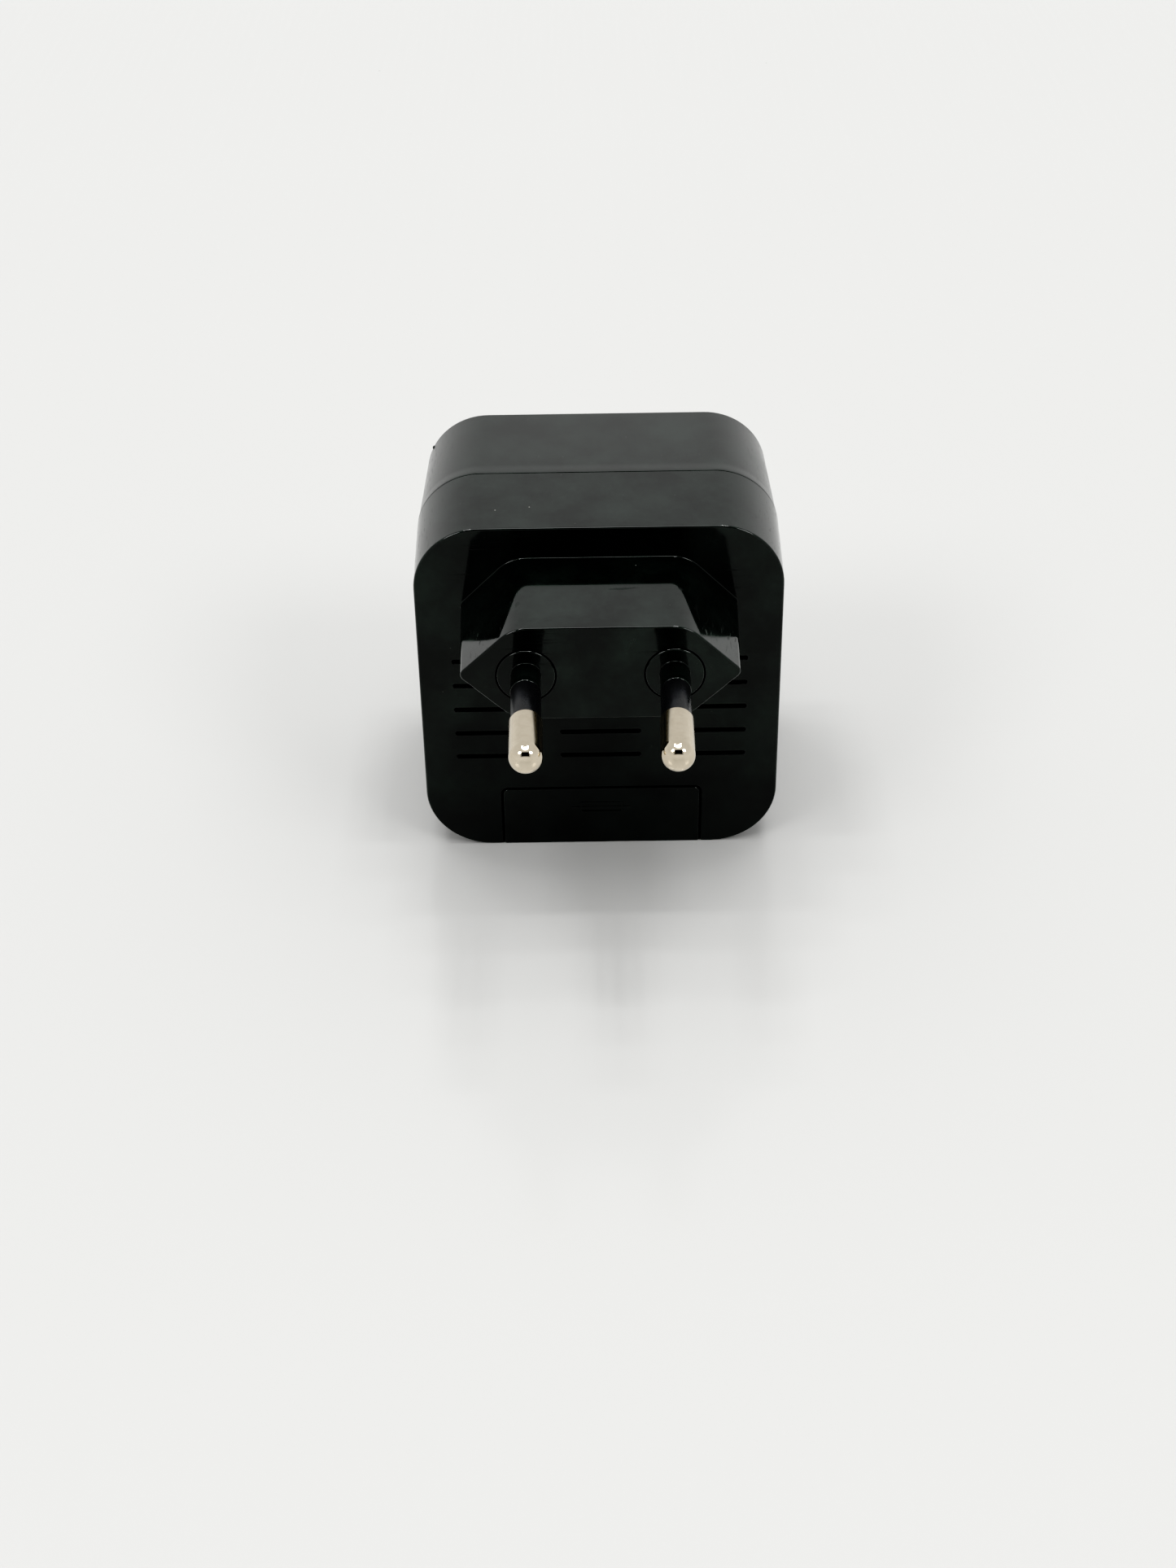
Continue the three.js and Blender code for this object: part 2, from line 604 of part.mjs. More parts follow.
function fuseBay() {
  const half = DRAWER.half + 0.4;
  const front = BODY.front + BODY.wall + GAP;
  const outer = box(-half - BAY.wall, half + BAY.wall, front, BAY.back, BAY.bottom, BAY.top);
  const room = box(-half, half, front - 1, DRAWER.back + 0.6, BAY.bottom - 1, BAY.room);
  const [near, far, slotFront, slotBack] = BAY.slot;
  let body = cut(outer, room);
  for (const side of [-1, 1]) {
    const [x0, x1] = sided(side, near, far);
    body = cut(body, box(x0, x1, slotFront, slotBack, BAY.room - 0.3, BAY.top + 0.6));
  }
  return body;
}

// ---- charger board ----
const PART_FOOT = BOARD.top + 0.1;

const CORE = {
  left: 1,
  right: 14,
  front: -12,
  back: -7,
  height: 12,
  yoke: 2,
  windows: [[2.9, 5.9], [9.1, 12.1]],
};
const WINDING = { left: 3.2, right: 11.8, front: -13.2, back: -5.6, foot: 2.3, head: 9.7 };

function transformerCore() {
  const { left, right, front, back, height, yoke } = CORE;
  const frame = box(left, right, front, back, PART_FOOT, PART_FOOT + height);
  const windows = CORE.windows.map(([x0, x1]) => (
    box(x0, x1, front - 1, back + 1, PART_FOOT + yoke, PART_FOOT + height - yoke)));
  return cut(frame, ...windows);
}

function transformerWinding() {
  const { left, right, front, back, foot, head } = WINDING;
  const coil = box(left, right, front, back, PART_FOOT + foot, PART_FOOT + head);
  const [[, legLeft], [legRight]] = CORE.windows;
  const leg = box(
    legLeft - GAP, legRight + GAP, CORE.front - GAP, CORE.back + GAP, PART_FOOT, PART_FOOT + CORE.height);
  return cut(coil, leg);
}

function capacitor(radius, height, x, y) {
  const can = lathe([
    [0, 0], [radius, 0], [radius, 1.2], [radius * 0.94, 1.6], [radius, 2.0],
    [radius, height - 0.4], [radius * 0.9, height], [0, height],
  ], 14);
  return solid(can.rotateX(Math.PI / 2).translate(x, y, PART_FOOT));
}

function usbShell(side) {
  const x = side * USB.x;
  const { half, bottom, top, back, mouth, sheet } = USB;
  const outer = solid(alongY(roundedRect(half, bottom, top, USB.corner, x), back, mouth, 3));
  const room = roundedRect(half - sheet, bottom + sheet, top - sheet, USB.corner / 2, x);
  return cut(outer, solid(alongY(room, back + sheet, mouth + 1, 3)));
}

function usbTongue(side) {
  const x = side * USB.x;
  const [block, blade] = [TONGUE_BLOCK, TONGUE_BLADE].map(({ half, back, front, bottom, top }) => (
    box(x - half, x + half, back, front, bottom, top)));
  return join(block, blade);
}

function addBoard() {
  const { half, front, back, bottom, top } = BOARD;
  add('circuit_board', box(-half, half, front, back, bottom, top), boardGreen);
  add('transformer_core', transformerCore(), ferrite);
  add('transformer_winding', transformerWinding(), tapeYellow);
  add('bulk_capacitor_left', capacitor(4, 11.5, -15.6, -9.4), innerBlack);
  add('bulk_capacitor_right', capacitor(4, 11.5, -6.4, -9.4), innerBlack);
  add('output_capacitor', capacitor(2.5, 8.5, 17.3, -9.6), capBlue);
  add('bridge_rectifier', box(-11, -5, -2.8, 1.4, 8.8, BOARD.bottom - 0.1), innerBlack);
  add('controller_chip', box(-2.5, 2.5, -2.6, 1.2, 9.5, BOARD.bottom - 0.1), innerBlack);
  add('safety_capacitor', rodY(3.6, -2.2, 0.6, 8.5, 7.2), capBlue);
  for (const [side, label] of [[-1, 'left'], [1, 'right']]) {
    add(`usb_shell_${label}`, usbShell(side), steel);
    add(`usb_tongue_${label}`, usbTongue(side), innerBlack);
  }
}

// ---- fasteners ----
function caseScrew(side) {
  const x = side * SCREW.x;
  const { shank, head, headInner, headOuter, tip, z } = SCREW;
  const profile = [
    [0, tip], [shank * 0.4, tip], [shank, tip + 1.5], [shank, headInner], [head, headInner],
    [head, headOuter - 0.6], [head * 0.75, headOuter - 0.1], [0, headOuter],
  ];
  const body = solid(lathe(profile, 14).translate(x, 0, z));
  const deep = headOuter - 1.1;
  const slots = [[1.3, 0.3], [0.3, 1.3]].map(([halfX, halfZ]) => (
    box(x - halfX, x + halfX, deep, headOuter + 1, z - halfZ, z + halfZ)));
  return cut(body, ...slots);
}

// ---- assembly ----
add('front_shell', frontShell(), shellBlack);
add('rear_shell', rearShell(), shellBlack);
add('socket_faceplate', faceplate(), shellBlack);
add('shutter', shutter(), innerBlack);
add('contact_carrier', carrier(), innerBlack);
add('pin_clamp_plate', clampPlate(), innerBlack);
add('fuse_drawer', fuseDrawer(), shellBlack);
add('fuse_tube', fuseTube(), ceramic);
add('fuse_bay', fuseBay(), innerBlack);
for (const [side, label, pole] of [[-1, 'left', 'live'], [1, 'right', 'neutral']]) {
  add(`shutter_spring_${label}`, spring(side), steel);
  add(`socket_contact_${pole}`, socketContact(side), brass);
  add(`busbar_${pole}`, busbar(side), brass);
  add(`fuse_cap_${label}`, fuseCap(side), nickel);
  add(`fuse_clip_${label}`, fuseClip(side), brass);
  add(`case_screw_${label}`, caseScrew(side), steel);
}
addPins();
addBoard();

export default adapter;
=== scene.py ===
"""Looks of the universal travel adapter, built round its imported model.

Lengths inside the classes are millimetres in the model's own frame: +X right, +Y from the plug side to the
socket side, +Z up. `put_mesh` turns them into metres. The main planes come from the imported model's boxes.
"""

import logging
import math
from dataclasses import dataclass, field
from enum import Enum
from typing import Sequence

import bmesh
import bpy
import numpy as np
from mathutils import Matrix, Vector


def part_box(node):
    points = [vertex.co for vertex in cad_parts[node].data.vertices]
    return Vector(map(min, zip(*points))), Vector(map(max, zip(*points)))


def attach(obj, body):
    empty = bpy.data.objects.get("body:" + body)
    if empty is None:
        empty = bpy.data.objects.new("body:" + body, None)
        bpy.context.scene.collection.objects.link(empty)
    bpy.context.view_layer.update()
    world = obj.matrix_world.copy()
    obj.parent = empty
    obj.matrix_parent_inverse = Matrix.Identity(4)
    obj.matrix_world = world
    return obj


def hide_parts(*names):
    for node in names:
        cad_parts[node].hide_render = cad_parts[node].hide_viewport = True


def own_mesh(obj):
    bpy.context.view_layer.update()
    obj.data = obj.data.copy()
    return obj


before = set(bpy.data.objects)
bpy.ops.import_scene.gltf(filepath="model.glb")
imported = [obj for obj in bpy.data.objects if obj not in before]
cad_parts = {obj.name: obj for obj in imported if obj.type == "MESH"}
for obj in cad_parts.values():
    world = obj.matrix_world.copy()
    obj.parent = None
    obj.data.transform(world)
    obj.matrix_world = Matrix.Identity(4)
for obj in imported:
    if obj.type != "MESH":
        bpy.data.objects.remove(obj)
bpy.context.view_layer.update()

LOG = logging.getLogger("travel_adapter")
MM = 0.001
SHARP_ANGLE = math.radians(32)
WELD_NEW, WELD_CUT, SLIVER = 1e-8, 2e-7, 1e-7
CUTTER_LEAD = 0.6
Solid = tuple[np.ndarray, list[list[int]]]
Stations = list[tuple[float, float]]
Wire = bpy.types.NodeSocket
Value = float | Sequence[float] | Wire
Triple = tuple[float, float, float]


class Side(Enum):
    """Hand of a paired piece, as seen from the plug side."""

    LEFT = -1
    RIGHT = 1

    @property
    def label(self) -> str:
        """Word used in the node's name."""
        return self.name.lower()

    def span(self, near: float, far: float) -> tuple[float, float]:
        """Two distances to this side of the middle, as places in rising order."""
        first, last = sorted((self.value * near, self.value * far))
        return first, last


class Cut(Enum):
    """How one body works on another."""

    AWAY = "DIFFERENCE"
    TOGETHER = "UNION"


class Body(Enum):
    """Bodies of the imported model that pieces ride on."""

    CASING = "casing"
    DRAWER = "drawer"
    SHUTTER = "shutter"


# ---------------------------------------------------------------- outlines and surfaces

def unit(vectors: np.ndarray) -> np.ndarray:
    """Vectors of length one, along the last axis."""
    return vectors / np.linalg.norm(vectors, axis=-1, keepdims=True)


@dataclass(frozen=True)
class Outline:
    """Closed outline in X and Z with straight sides and an arc at each corner.

    A corner's arc is centred where its two sides, drawn in by the radius, cross. Moving the outline out by an
    offset keeps the centres and adds the offset to the radii.
    """

    corners: np.ndarray
    radii: np.ndarray
    steps: int = 8

    def points(self, offset: float = 0.0) -> np.ndarray:
        """Points of the outline, anticlockwise.

        Args:
            offset: distance that the outline is moved outwards.

        Returns:
            Array of shape (corners * (steps + 1), 2).
        """
        arriving = unit(self.corners - np.roll(self.corners, 1, axis=0))
        leaving = unit(np.roll(self.corners, -1, axis=0) - self.corners)
        first = np.stack([arriving[:, 1], -arriving[:, 0]], axis=-1)
        last = np.stack([leaving[:, 1], -leaving[:, 0]], axis=-1)
        middle = unit(first + last)
        lean = (middle * first).sum(axis=-1)
        centres = self.corners - middle * (self.radii / lean)[:, None]
        start = np.arctan2(first[:, 1], first[:, 0])
        turn = np.mod(np.arctan2(last[:, 1], last[:, 0]) - start, 2 * math.pi)
        angle = start[:, None] + turn[:, None] * np.linspace(0, 1, self.steps + 1)
        reach = (self.radii + offset)[:, None, None]
        around = np.stack([np.cos(angle), np.sin(angle)], axis=-1)
        return (centres[:, None, :] + reach * around).reshape(-1, 2)

    def towards(self, other: "Outline", share: float) -> "Outline":
        """Outline part of the way from this one to another with as many corners."""
        corners = self.corners + (other.corners - self.corners) * share
        return Outline(corners, self.radii + (other.radii - self.radii) * share, self.steps)


def rect(half: float, bottom: float, top: float, radius: float, x: float = 0.0, steps: int = 8) -> Outline:
    """Rectangle centred at x, with the same radius at every corner."""
    corners = np.array([[x - half, bottom], [x + half, bottom], [x + half, top], [x - half, top]], float)
    return Outline(corners, np.full(4, float(radius)), steps)


def disc(radius: float, x: float, z: float, steps: int = 15) -> Outline:
    """Circle, as a square whose corner radii fill it."""
    return rect(radius, z - radius, z + radius, radius - 1e-4, x, steps)


def tube_rings(start: Outline, end: Outline, stations: Stations) -> np.ndarray:
    """Rings along Y: at each station the outline lies between start and end and is moved out by an offset.

    Args:
        start: outline at the first station's y.
        end: outline at the last station's y.
        stations: pairs of y and offset.

    Returns:
        Array of shape (stations, points, 3).
    """
    first, last = stations[0][0], stations[-1][0]
    rings = []
    for y, offset in stations:
        flat = start.towards(end, (y - first) / (last - first)).points(offset)
        rings.append(np.column_stack([flat[:, 0], np.full(len(flat), y), flat[:, 1]]))
    return np.array(rings)


def round_over(edge: float, radius: float, inward: int, count: int = 5) -> Stations:
    """Stations of a convex quarter round, from the flat face at `edge` to the full outline.

    y = edge + inward * radius * (1 - cos a) and offset = radius * (sin a - 1) for a from 0 to 90 degrees.
    """
    angles = np.linspace(0, math.pi / 2, count + 1)
    return [(edge + inward * radius * (1 - math.cos(a)), radius * (math.sin(a) - 1)) for a in angles]


def hollow_round(edge: float, radius: float, count: int = 4) -> Stations:
    """Stations of a concave quarter round that flares out to `edge`, as y grows.

    y = edge - radius * (1 - sin a) and offset = radius * (1 - cos a) for a from 0 to 90 degrees.
    """
    angles = np.linspace(0, math.pi / 2, count + 1)
    return [(edge - radius * (1 - math.sin(a)), radius * (1 - math.cos(a))) for a in angles]


def hole_stations(mouth: float, flare: float, depth: float, inward: int) -> Stations:
    """Stations of a cutter whose mouth is rounded by `flare`, from outside the face to `depth` inside it.

    Args:
        mouth: the face's place along Y.
        flare: how far the mouth is rounded.
        depth: how deep the cutter goes.
        inward: 1 where Y grows into the body, -1 where it falls.

    Returns:
        Pairs of place along Y and offset of the outline.
    """
    angles = np.linspace(0, math.pi / 2, 4)
    lip = [(mouth + inward * flare * math.sin(a), flare * (1 - math.sin(a))) for a in angles]
    rounded = [(mouth + inward * flare * (1 - math.cos(a)), flare * (1 - math.sin(a))) for a in angles]
    rounded[-1] = lip[-1]
    return [(mouth - inward * CUTTER_LEAD, flare), *rounded, (mouth + inward * depth, 0.0)]


def loft(rings: np.ndarray) -> Solid:
    """Closed body through rings, with quads between neighbours and a flat face over each end.

    Args:
        rings: array of shape (rings, points, 3).

    Returns:
        Vertices and faces.
    """
    count, around = rings.shape[:2]
    index = np.arange(count * around).reshape(count, around)
    ahead = np.roll(index, -1, axis=1)
    quads = np.stack([index[:-1], ahead[:-1], ahead[1:], index[1:]], axis=-1).reshape(-1, 4)
    return rings.reshape(-1, 3), quads.tolist() + [index[0][::-1].tolist(), index[-1].tolist()]


def prism(shape: Outline, stations: Stations, end: Outline | None = None) -> Solid:
    """Closed body along Y from one outline to another, or of one outline all the way."""
    return loft(tube_rings(shape, end or shape, stations))


def turned_profile(profile: np.ndarray, centre: Sequence[float], axis: int = 1, sides: int = 72) -> Solid:
    """Surface of revolution: a profile of radius and place carried round an axis.

    Args:
        profile: array of (radius, place along the axis). It starts and ends on the axis, or at its own start.
        centre: a point on the axis.
        axis: 0, 1 or 2 for X, Y or Z.
        sides: facets round the axis.

    Returns:
        Vertices and faces.
    """
    angle = np.linspace(0, 2 * math.pi, sides, endpoint=False)
    closed = bool(np.allclose(profile[0], profile[-1]))
    rows = profile[:-1] if closed else profile[1:-1]
    points = np.empty((len(rows), sides, 3))
    across = [a for a in range(3) if a != axis]
    points[..., across[0]] = rows[:, :1] * np.cos(angle)
    points[..., across[1]] = rows[:, :1] * np.sin(angle)
    points[..., axis] = rows[:, 1:]
    index = np.arange(len(rows) * sides).reshape(len(rows), sides)
    below = np.vstack([index, index[:1]]) if closed else index
    beside = np.roll(below, -1, axis=1)
    quads = np.stack([below[:-1], beside[:-1], beside[1:], below[1:]], axis=-1).reshape(-1, 4)
    faces = quads.tolist()
    vertices = points.reshape(-1, 3)
    if not closed:
        poles = np.zeros((2, 3))
        poles[:, axis] = [profile[0, 1], profile[-1, 1]]
        vertices = np.vstack([vertices, poles])
        first, last = len(vertices) - 2, len(vertices) - 1
        start = np.column_stack([np.full(sides, first), np.roll(index[0], -1), index[0]])
        end = np.column_stack([np.full(sides, last), index[-1], np.roll(index[-1], -1)])
        faces += start.tolist() + end.tolist()
    place = np.array(centre, float)
    place[axis] = 0.0
    return vertices + place, faces


def arc(centre: tuple[float, float], radius: float, start: float, end: float, count: int = 6) -> np.ndarray:
    """Points of a circular arc in the plane of a profile, with angles in degrees."""
    angle = np.radians(np.linspace(start, end, count + 1))
    return np.column_stack([centre[0] + radius * np.cos(angle), centre[1] + radius * np.sin(angle)])


# ---------------------------------------------------------------- meshes

def put_mesh(name: str, body: Solid) -> bpy.types.Object:
    """New object at the origin from a body in millimetres, with its faces turned outwards.

    Args:
        name: the object's and the mesh's name.
        body: vertices and faces.

    Returns:
        The object, linked to the scene.
    """
    vertices, faces = body
    mesh = bpy.data.meshes.new(name)
    mesh.from_pydata((vertices * MM).tolist(), [], faces)
    work = bmesh.new()
    work.from_mesh(mesh)
    bmesh.ops.remove_doubles(work, verts=work.verts, dist=WELD_NEW)
    bmesh.ops.recalc_face_normals(work, faces=work.faces)
    if work.calc_volume(signed=True) < 0:
        bmesh.ops.reverse_faces(work, faces=work.faces)
    work.to_mesh(mesh)
    work.free()
    piece = bpy.data.objects.new(name, mesh)
    bpy.context.scene.collection.objects.link(piece)
    return piece


def gathered(parts: Sequence[Solid]) -> Solid:
    """One body from several that don't meet.

    Args:
        parts: the bodies.

    Returns:
        Vertices and faces.
    """
    faces: list[list[int]] = []
    shift = 0
    for points, part_faces in parts:
        faces += [[corner + shift for corner in face] for face in part_faces]
        shift += len(points)
    return np.vstack([points for points, _ in parts]), faces


def work_on(target: bpy.types.Object, how: Cut, *bodies: Solid) -> bpy.types.Object:
    """Joins bodies to the target or cuts them away, one after another.

    Args:
        target: the object that changes.
        how: joined to it or cut away.
        bodies: the bodies, in order.

    Returns:
        The target.
    """
    for body in bodies:
        combine(target, put_mesh("tool", body), how)
    return target


def combine(target: bpy.types.Object, tool: bpy.types.Object, how: Cut) -> bpy.types.Object:
    """Joins the tool to the target or cuts it away, and removes the tool.

    Args:
        target: the object that changes.
        tool: the object that works on it.
        how: joined to it or cut away.

    Returns:
        The target.
    """
    step = target.modifiers.new(how.name.lower(), "BOOLEAN")
    step.operation = how.value
    step.solver = "EXACT"
    step.object = tool
    graph = bpy.context.evaluated_depsgraph_get()
    made = bpy.data.meshes.new_from_object(target.evaluated_get(graph))
    old = target.data
    target.modifiers.clear()
    target.data = made
    made.name = target.name
    bpy.data.meshes.remove(old)
    bpy.data.meshes.remove(tool.data)
    return target


def shade(piece: bpy.types.Object) -> bpy.types.Object:
    """Smooth shading with true edges, weighted so that flat faces stay flat.

    Args:
        piece: the object.

    Returns:
        The same object.
    """
    work = bmesh.new()
    work.from_mesh(piece.data)
    bmesh.ops.remove_doubles(work, verts=work.verts, dist=WELD_CUT)
    bmesh.ops.dissolve_degenerate(work, edges=work.edges, dist=SLIVER)
    work.to_mesh(piece.data)
    work.free()
    piece.data.polygons.foreach_set("use_smooth", np.ones(len(piece.data.polygons), bool))
    piece.data.set_sharp_from_angle(angle=SHARP_ANGLE)
    flat = piece.modifiers.new("flat_faces", "WEIGHTED_NORMAL")
    flat.keep_sharp = True
    flat.weight = 80
    return piece


def block(x: tuple[float, float], y: tuple[float, float], z: tuple[float, float],
          radius: float = 0.15, edge: float = 0.1) -> Solid:
    """Block with rounded upright edges and rounded ends, lofted along Y."""
    shape = rect((x[1] - x[0]) / 2, z[0], z[1], radius, (x[0] + x[1]) / 2, 3)
    return prism(shape, round_over(y[0], edge, 1, 2) + round_over(y[1], edge, -1, 2)[::-1])


def low(node: str) -> np.ndarray:
    """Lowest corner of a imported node, in millimetres."""
    return np.array(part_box(node)[0]) / MM


def high(node: str) -> np.ndarray:
    """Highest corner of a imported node, in millimetres."""
    return np.array(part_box(node)[1]) / MM


# ---------------------------------------------------------------- finishes

class Tree:
    """Node tree written step by step. A value given to a socket is a number, a colour or another socket."""

    def __init__(self, owner: bpy.types.Material | bpy.types.World) -> None:
        """Turns the owner's nodes on."""
        owner.use_nodes = True
        self.nodes, self.links = owner.node_tree.nodes, owner.node_tree.links

    def give(self, socket: Wire, value: Value) -> None:
        """Links the socket or sets it. A colour comes without its alpha.

        Args:
            socket: the socket that takes the value.
            value: a number, a colour or another socket.
        """
        if isinstance(value, Wire):
            self.links.new(value, socket)
        else:
            socket.default_value = (*value, 1.0) if socket.type == "RGBA" else value

    def add(self, kind: str, inputs: dict[int | str, Value], **settings: object) -> bpy.types.Node:
        """New node of a kind, with its settings made and its inputs given.

        Args:
            kind: the node's type without its prefix.
            inputs: values by the place or the name of their socket.
            settings: the node's own properties.

        Returns:
            The node.
        """
        node = self.nodes.new(f"ShaderNode{kind}")
        for key, value in settings.items():
            setattr(node, key, value)
        for key, value in inputs.items():
            self.give(node.inputs[key], value)
        return node

    def span(self, value: Value, low_in: float, high_in: float, low_out: Value, high_out: Value) -> Wire:
        """Value moved from one range to another and held within it."""
        return self.add("MapRange", dict(enumerate((value, low_in, high_in, low_out, high_out)))).outputs[0]

    def math(self, kind: str, first: Value, second: Value = 0.0) -> Wire:
        """Sum, product or other sum of one or two values."""
        return self.add("Math", {0: first, 1: second}, operation=kind).outputs[0]


class Recipe(Tree):
    """A Principled material built step by step on Object coordinates."""

    def __init__(self, name: str, **values: Value) -> None:
        """Starts a material with a shader and an output, and sets the shader's own sockets.

        Args:
            name: the material's name.
            values: values of the shader's sockets.
        """
        self.material = bpy.data.materials.new(name)
        super().__init__(self.material)
        self.nodes.clear()
        self.shader = self.nodes.new("ShaderNodeBsdfPrincipled")
        self.add("OutputMaterial", {0: self.shader.outputs[0]})
        self.coordinates = self.add("TexCoord", {}).outputs["Object"]
        self.set(**values)

    def set(self, **values: Value) -> None:
        """Gives the shader's sockets their values; an underscore in a name stands for a space."""
        for key, value in values.items():
            self.give(self.shader.inputs[key.replace("_", " ")], value)

    def stretched(self, scale: Triple, turn: Triple = (0.0, 0.0, 0.0)) -> Wire:
        """Object coordinates scaled along each axis and turned."""
        return self.add("Mapping", {"Scale": scale, "Rotation": turn, "Vector": self.coordinates}).outputs[0]

    def noise(self, size_mm: float, detail: float = 3.0, roughness: float = 0.5,
              vector: Wire | None = None) -> Wire:
        """Noise whose lumps are about size_mm across."""
        inputs = {"Scale": 1 / (size_mm * MM), "Detail": detail, "Roughness": roughness}
        return self.add("TexNoise", {**inputs, "Vector": vector or self.coordinates}).outputs["Fac"]

    def specks(self, spacing_mm: float, size: float, share: float = 1.0, vector: Wire | None = None) -> Wire:
        """Mask that is 1 at the middle of scattered specks.

        Args:
            spacing_mm: size of the cells that hold one speck each.
            size: radius of a speck as a share of its cell.
            share: share of the cells that show their speck, picked by each cell's own colour.
            vector: coordinates, or None for the plain ones.

        Returns:
            The mask's socket.
        """
        cells = self.add("TexVoronoi", {"Scale": 1 / (spacing_mm * MM), "Vector": vector or self.coordinates})
        mask = self.span(cells.outputs["Distance"], 0.5 * size, size, 1.0, 0.0)
        if share >= 1.0:
            return mask
        pick = self.add("SeparateColor", {0: cells.outputs["Color"]}).outputs[0]
        return self.math("MULTIPLY", mask, self.math("LESS_THAN", pick, share))

    def blend(self, share: Value, first: Value, second: Value) -> Wire:
        """Colour between two others; each may be a socket or a plain colour."""
        return self.add("Mix", {0: share, 6: first, 7: second}, data_type="RGBA").outputs[2]

    def bump(self, height: Wire, depth_mm: float, strength: float = 1.0, **under: Wire) -> Wire:
        """Normal from a height map whose full range is depth_mm, on top of another Normal if one is given."""
        inputs = {"Distance": depth_mm * MM, "Strength": strength, "Height": height, **under}
        return self.add("Bump", inputs).outputs[0]


@dataclass(frozen=True)
class PolishedPlastic:
    """Near-black moulded plastic: a faint ripple, hairlines, smudges and a little dust."""

    name: str
    color: Triple = (0.0038, 0.0054, 0.0046)
    gloss: tuple[float, float] = (0.045, 0.11)
    ripple: float = 0.0016
    dust: float = 0.026
    specular: float = 0.5
    film: float = 3.2
    dust_color: Triple = (0.24, 0.235, 0.22)

    def make(self) -> bpy.types.Material:
        """Builds the material.

        Returns:
            The material.
        """
        recipe = Recipe(self.name, IOR=1.5, Specular_IOR_Level=self.specular)
        smudge = recipe.noise(7.0, 4.0, 0.6)
        fine = recipe.noise(0.6, 2.0)
        cloudy = recipe.math("ADD", smudge, recipe.math("MULTIPLY", fine, 0.25))
        hair = recipe.noise(1.0, 1.0, 0.5, recipe.stretched((0.06, 0.5, 3.5), (0.3, 0.9, 0.5)))
        line = recipe.span(hair, 0.655, 0.665, 0.0, 1.0)
        rough = recipe.span(cloudy, 0.45, 0.85, *self.gloss)
        speck = recipe.specks(4.4, self.dust, 0.3)
        lint = recipe.specks(6.0, self.dust, 0.16, recipe.stretched((1.0, 1.0, 0.16), (0.4, 0.8, 0.3)))
        grit = recipe.specks(1.6, self.dust * 1.4, 0.5)
        large = recipe.math("MAXIMUM", speck, lint)
        dust = recipe.math("MAXIMUM", large, recipe.math("MULTIPLY", grit, 0.3))
        film = tuple(channel * self.film for channel in self.color)
        smeared = recipe.blend(recipe.span(cloudy, 0.5, 0.85, 0.0, 1.0), self.color, film)
        recipe.set(Base_Color=recipe.blend(dust, smeared, self.dust_color))
        worn = recipe.math("MAXIMUM", dust, recipe.math("MULTIPLY", line, 0.25))
        recipe.set(Roughness=recipe.math("MAXIMUM", rough, worn))
        wave = recipe.bump(recipe.noise(2.2, 1.0), self.ripple)
        recipe.set(Normal=recipe.bump(dust, 0.02, 0.6, Normal=wave))
        return recipe.material


@dataclass(frozen=True)
class MattePlastic:
    """Fine spark-eroded plastic with a soft sheen."""

    name: str
    color: Triple
    roughness: float = 0.5
    grain_mm: float = 0.12
    depth: float = 0.006
    specular: float = 0.5
    uneven: float = 0.08

    def make(self) -> bpy.types.Material:
        """Builds the material.

        Returns:
            The material.
        """
        recipe = Recipe(self.name, IOR=1.48, Specular_IOR_Level=self.specular)
        grain = recipe.noise(self.grain_mm, 3.0, 0.6)
        patch = recipe.noise(3.0, 3.0)
        lighter = tuple(min(1.0, channel * 1.7 + 0.004) for channel in self.color)
        recipe.set(Base_Color=recipe.blend(recipe.span(grain, 0.45, 0.8, 0.0, 1.0), self.color, lighter))
        least, most = self.roughness - self.uneven, self.roughness + self.uneven
        recipe.set(Roughness=recipe.span(patch, 0.3, 0.7, least, most))
        recipe.set(Normal=recipe.bump(grain, self.depth))
        return recipe.material


@dataclass(frozen=True)
class PlatedMetal:
    """Plated or bare metal with fine turning lines, tarnish and small scuffs."""

    name: str
    color: Triple
    tarnish: Triple
    roughness: float = 0.16
    lines: Triple = (0.4, 9.0, 0.4)
    depth: float = 0.0012

    def make(self) -> bpy.types.Material:
        """Builds the material.

        Returns:
            The material.
        """
        recipe = Recipe(self.name, Metallic=1.0)
        cloud = recipe.noise(1.6, 4.0, 0.6)
        tarnished = recipe.span(cloud, 0.4, 0.75, 0.0, 1.0)
        scuff = recipe.noise(0.22, 3.0, 0.7)
        turning = recipe.noise(1.0, 2.0, 0.5, recipe.stretched(self.lines))
        recipe.set(Base_Color=recipe.blend(tarnished, self.color, self.tarnish))
        mixed = recipe.math("MULTIPLY", recipe.math("ADD", scuff, turning), 0.5)
        recipe.set(Roughness=recipe.span(mixed, 0.35, 0.7, self.roughness * 0.6, self.roughness * 1.7))
        recipe.set(Normal=recipe.bump(mixed, self.depth))
        return recipe.material


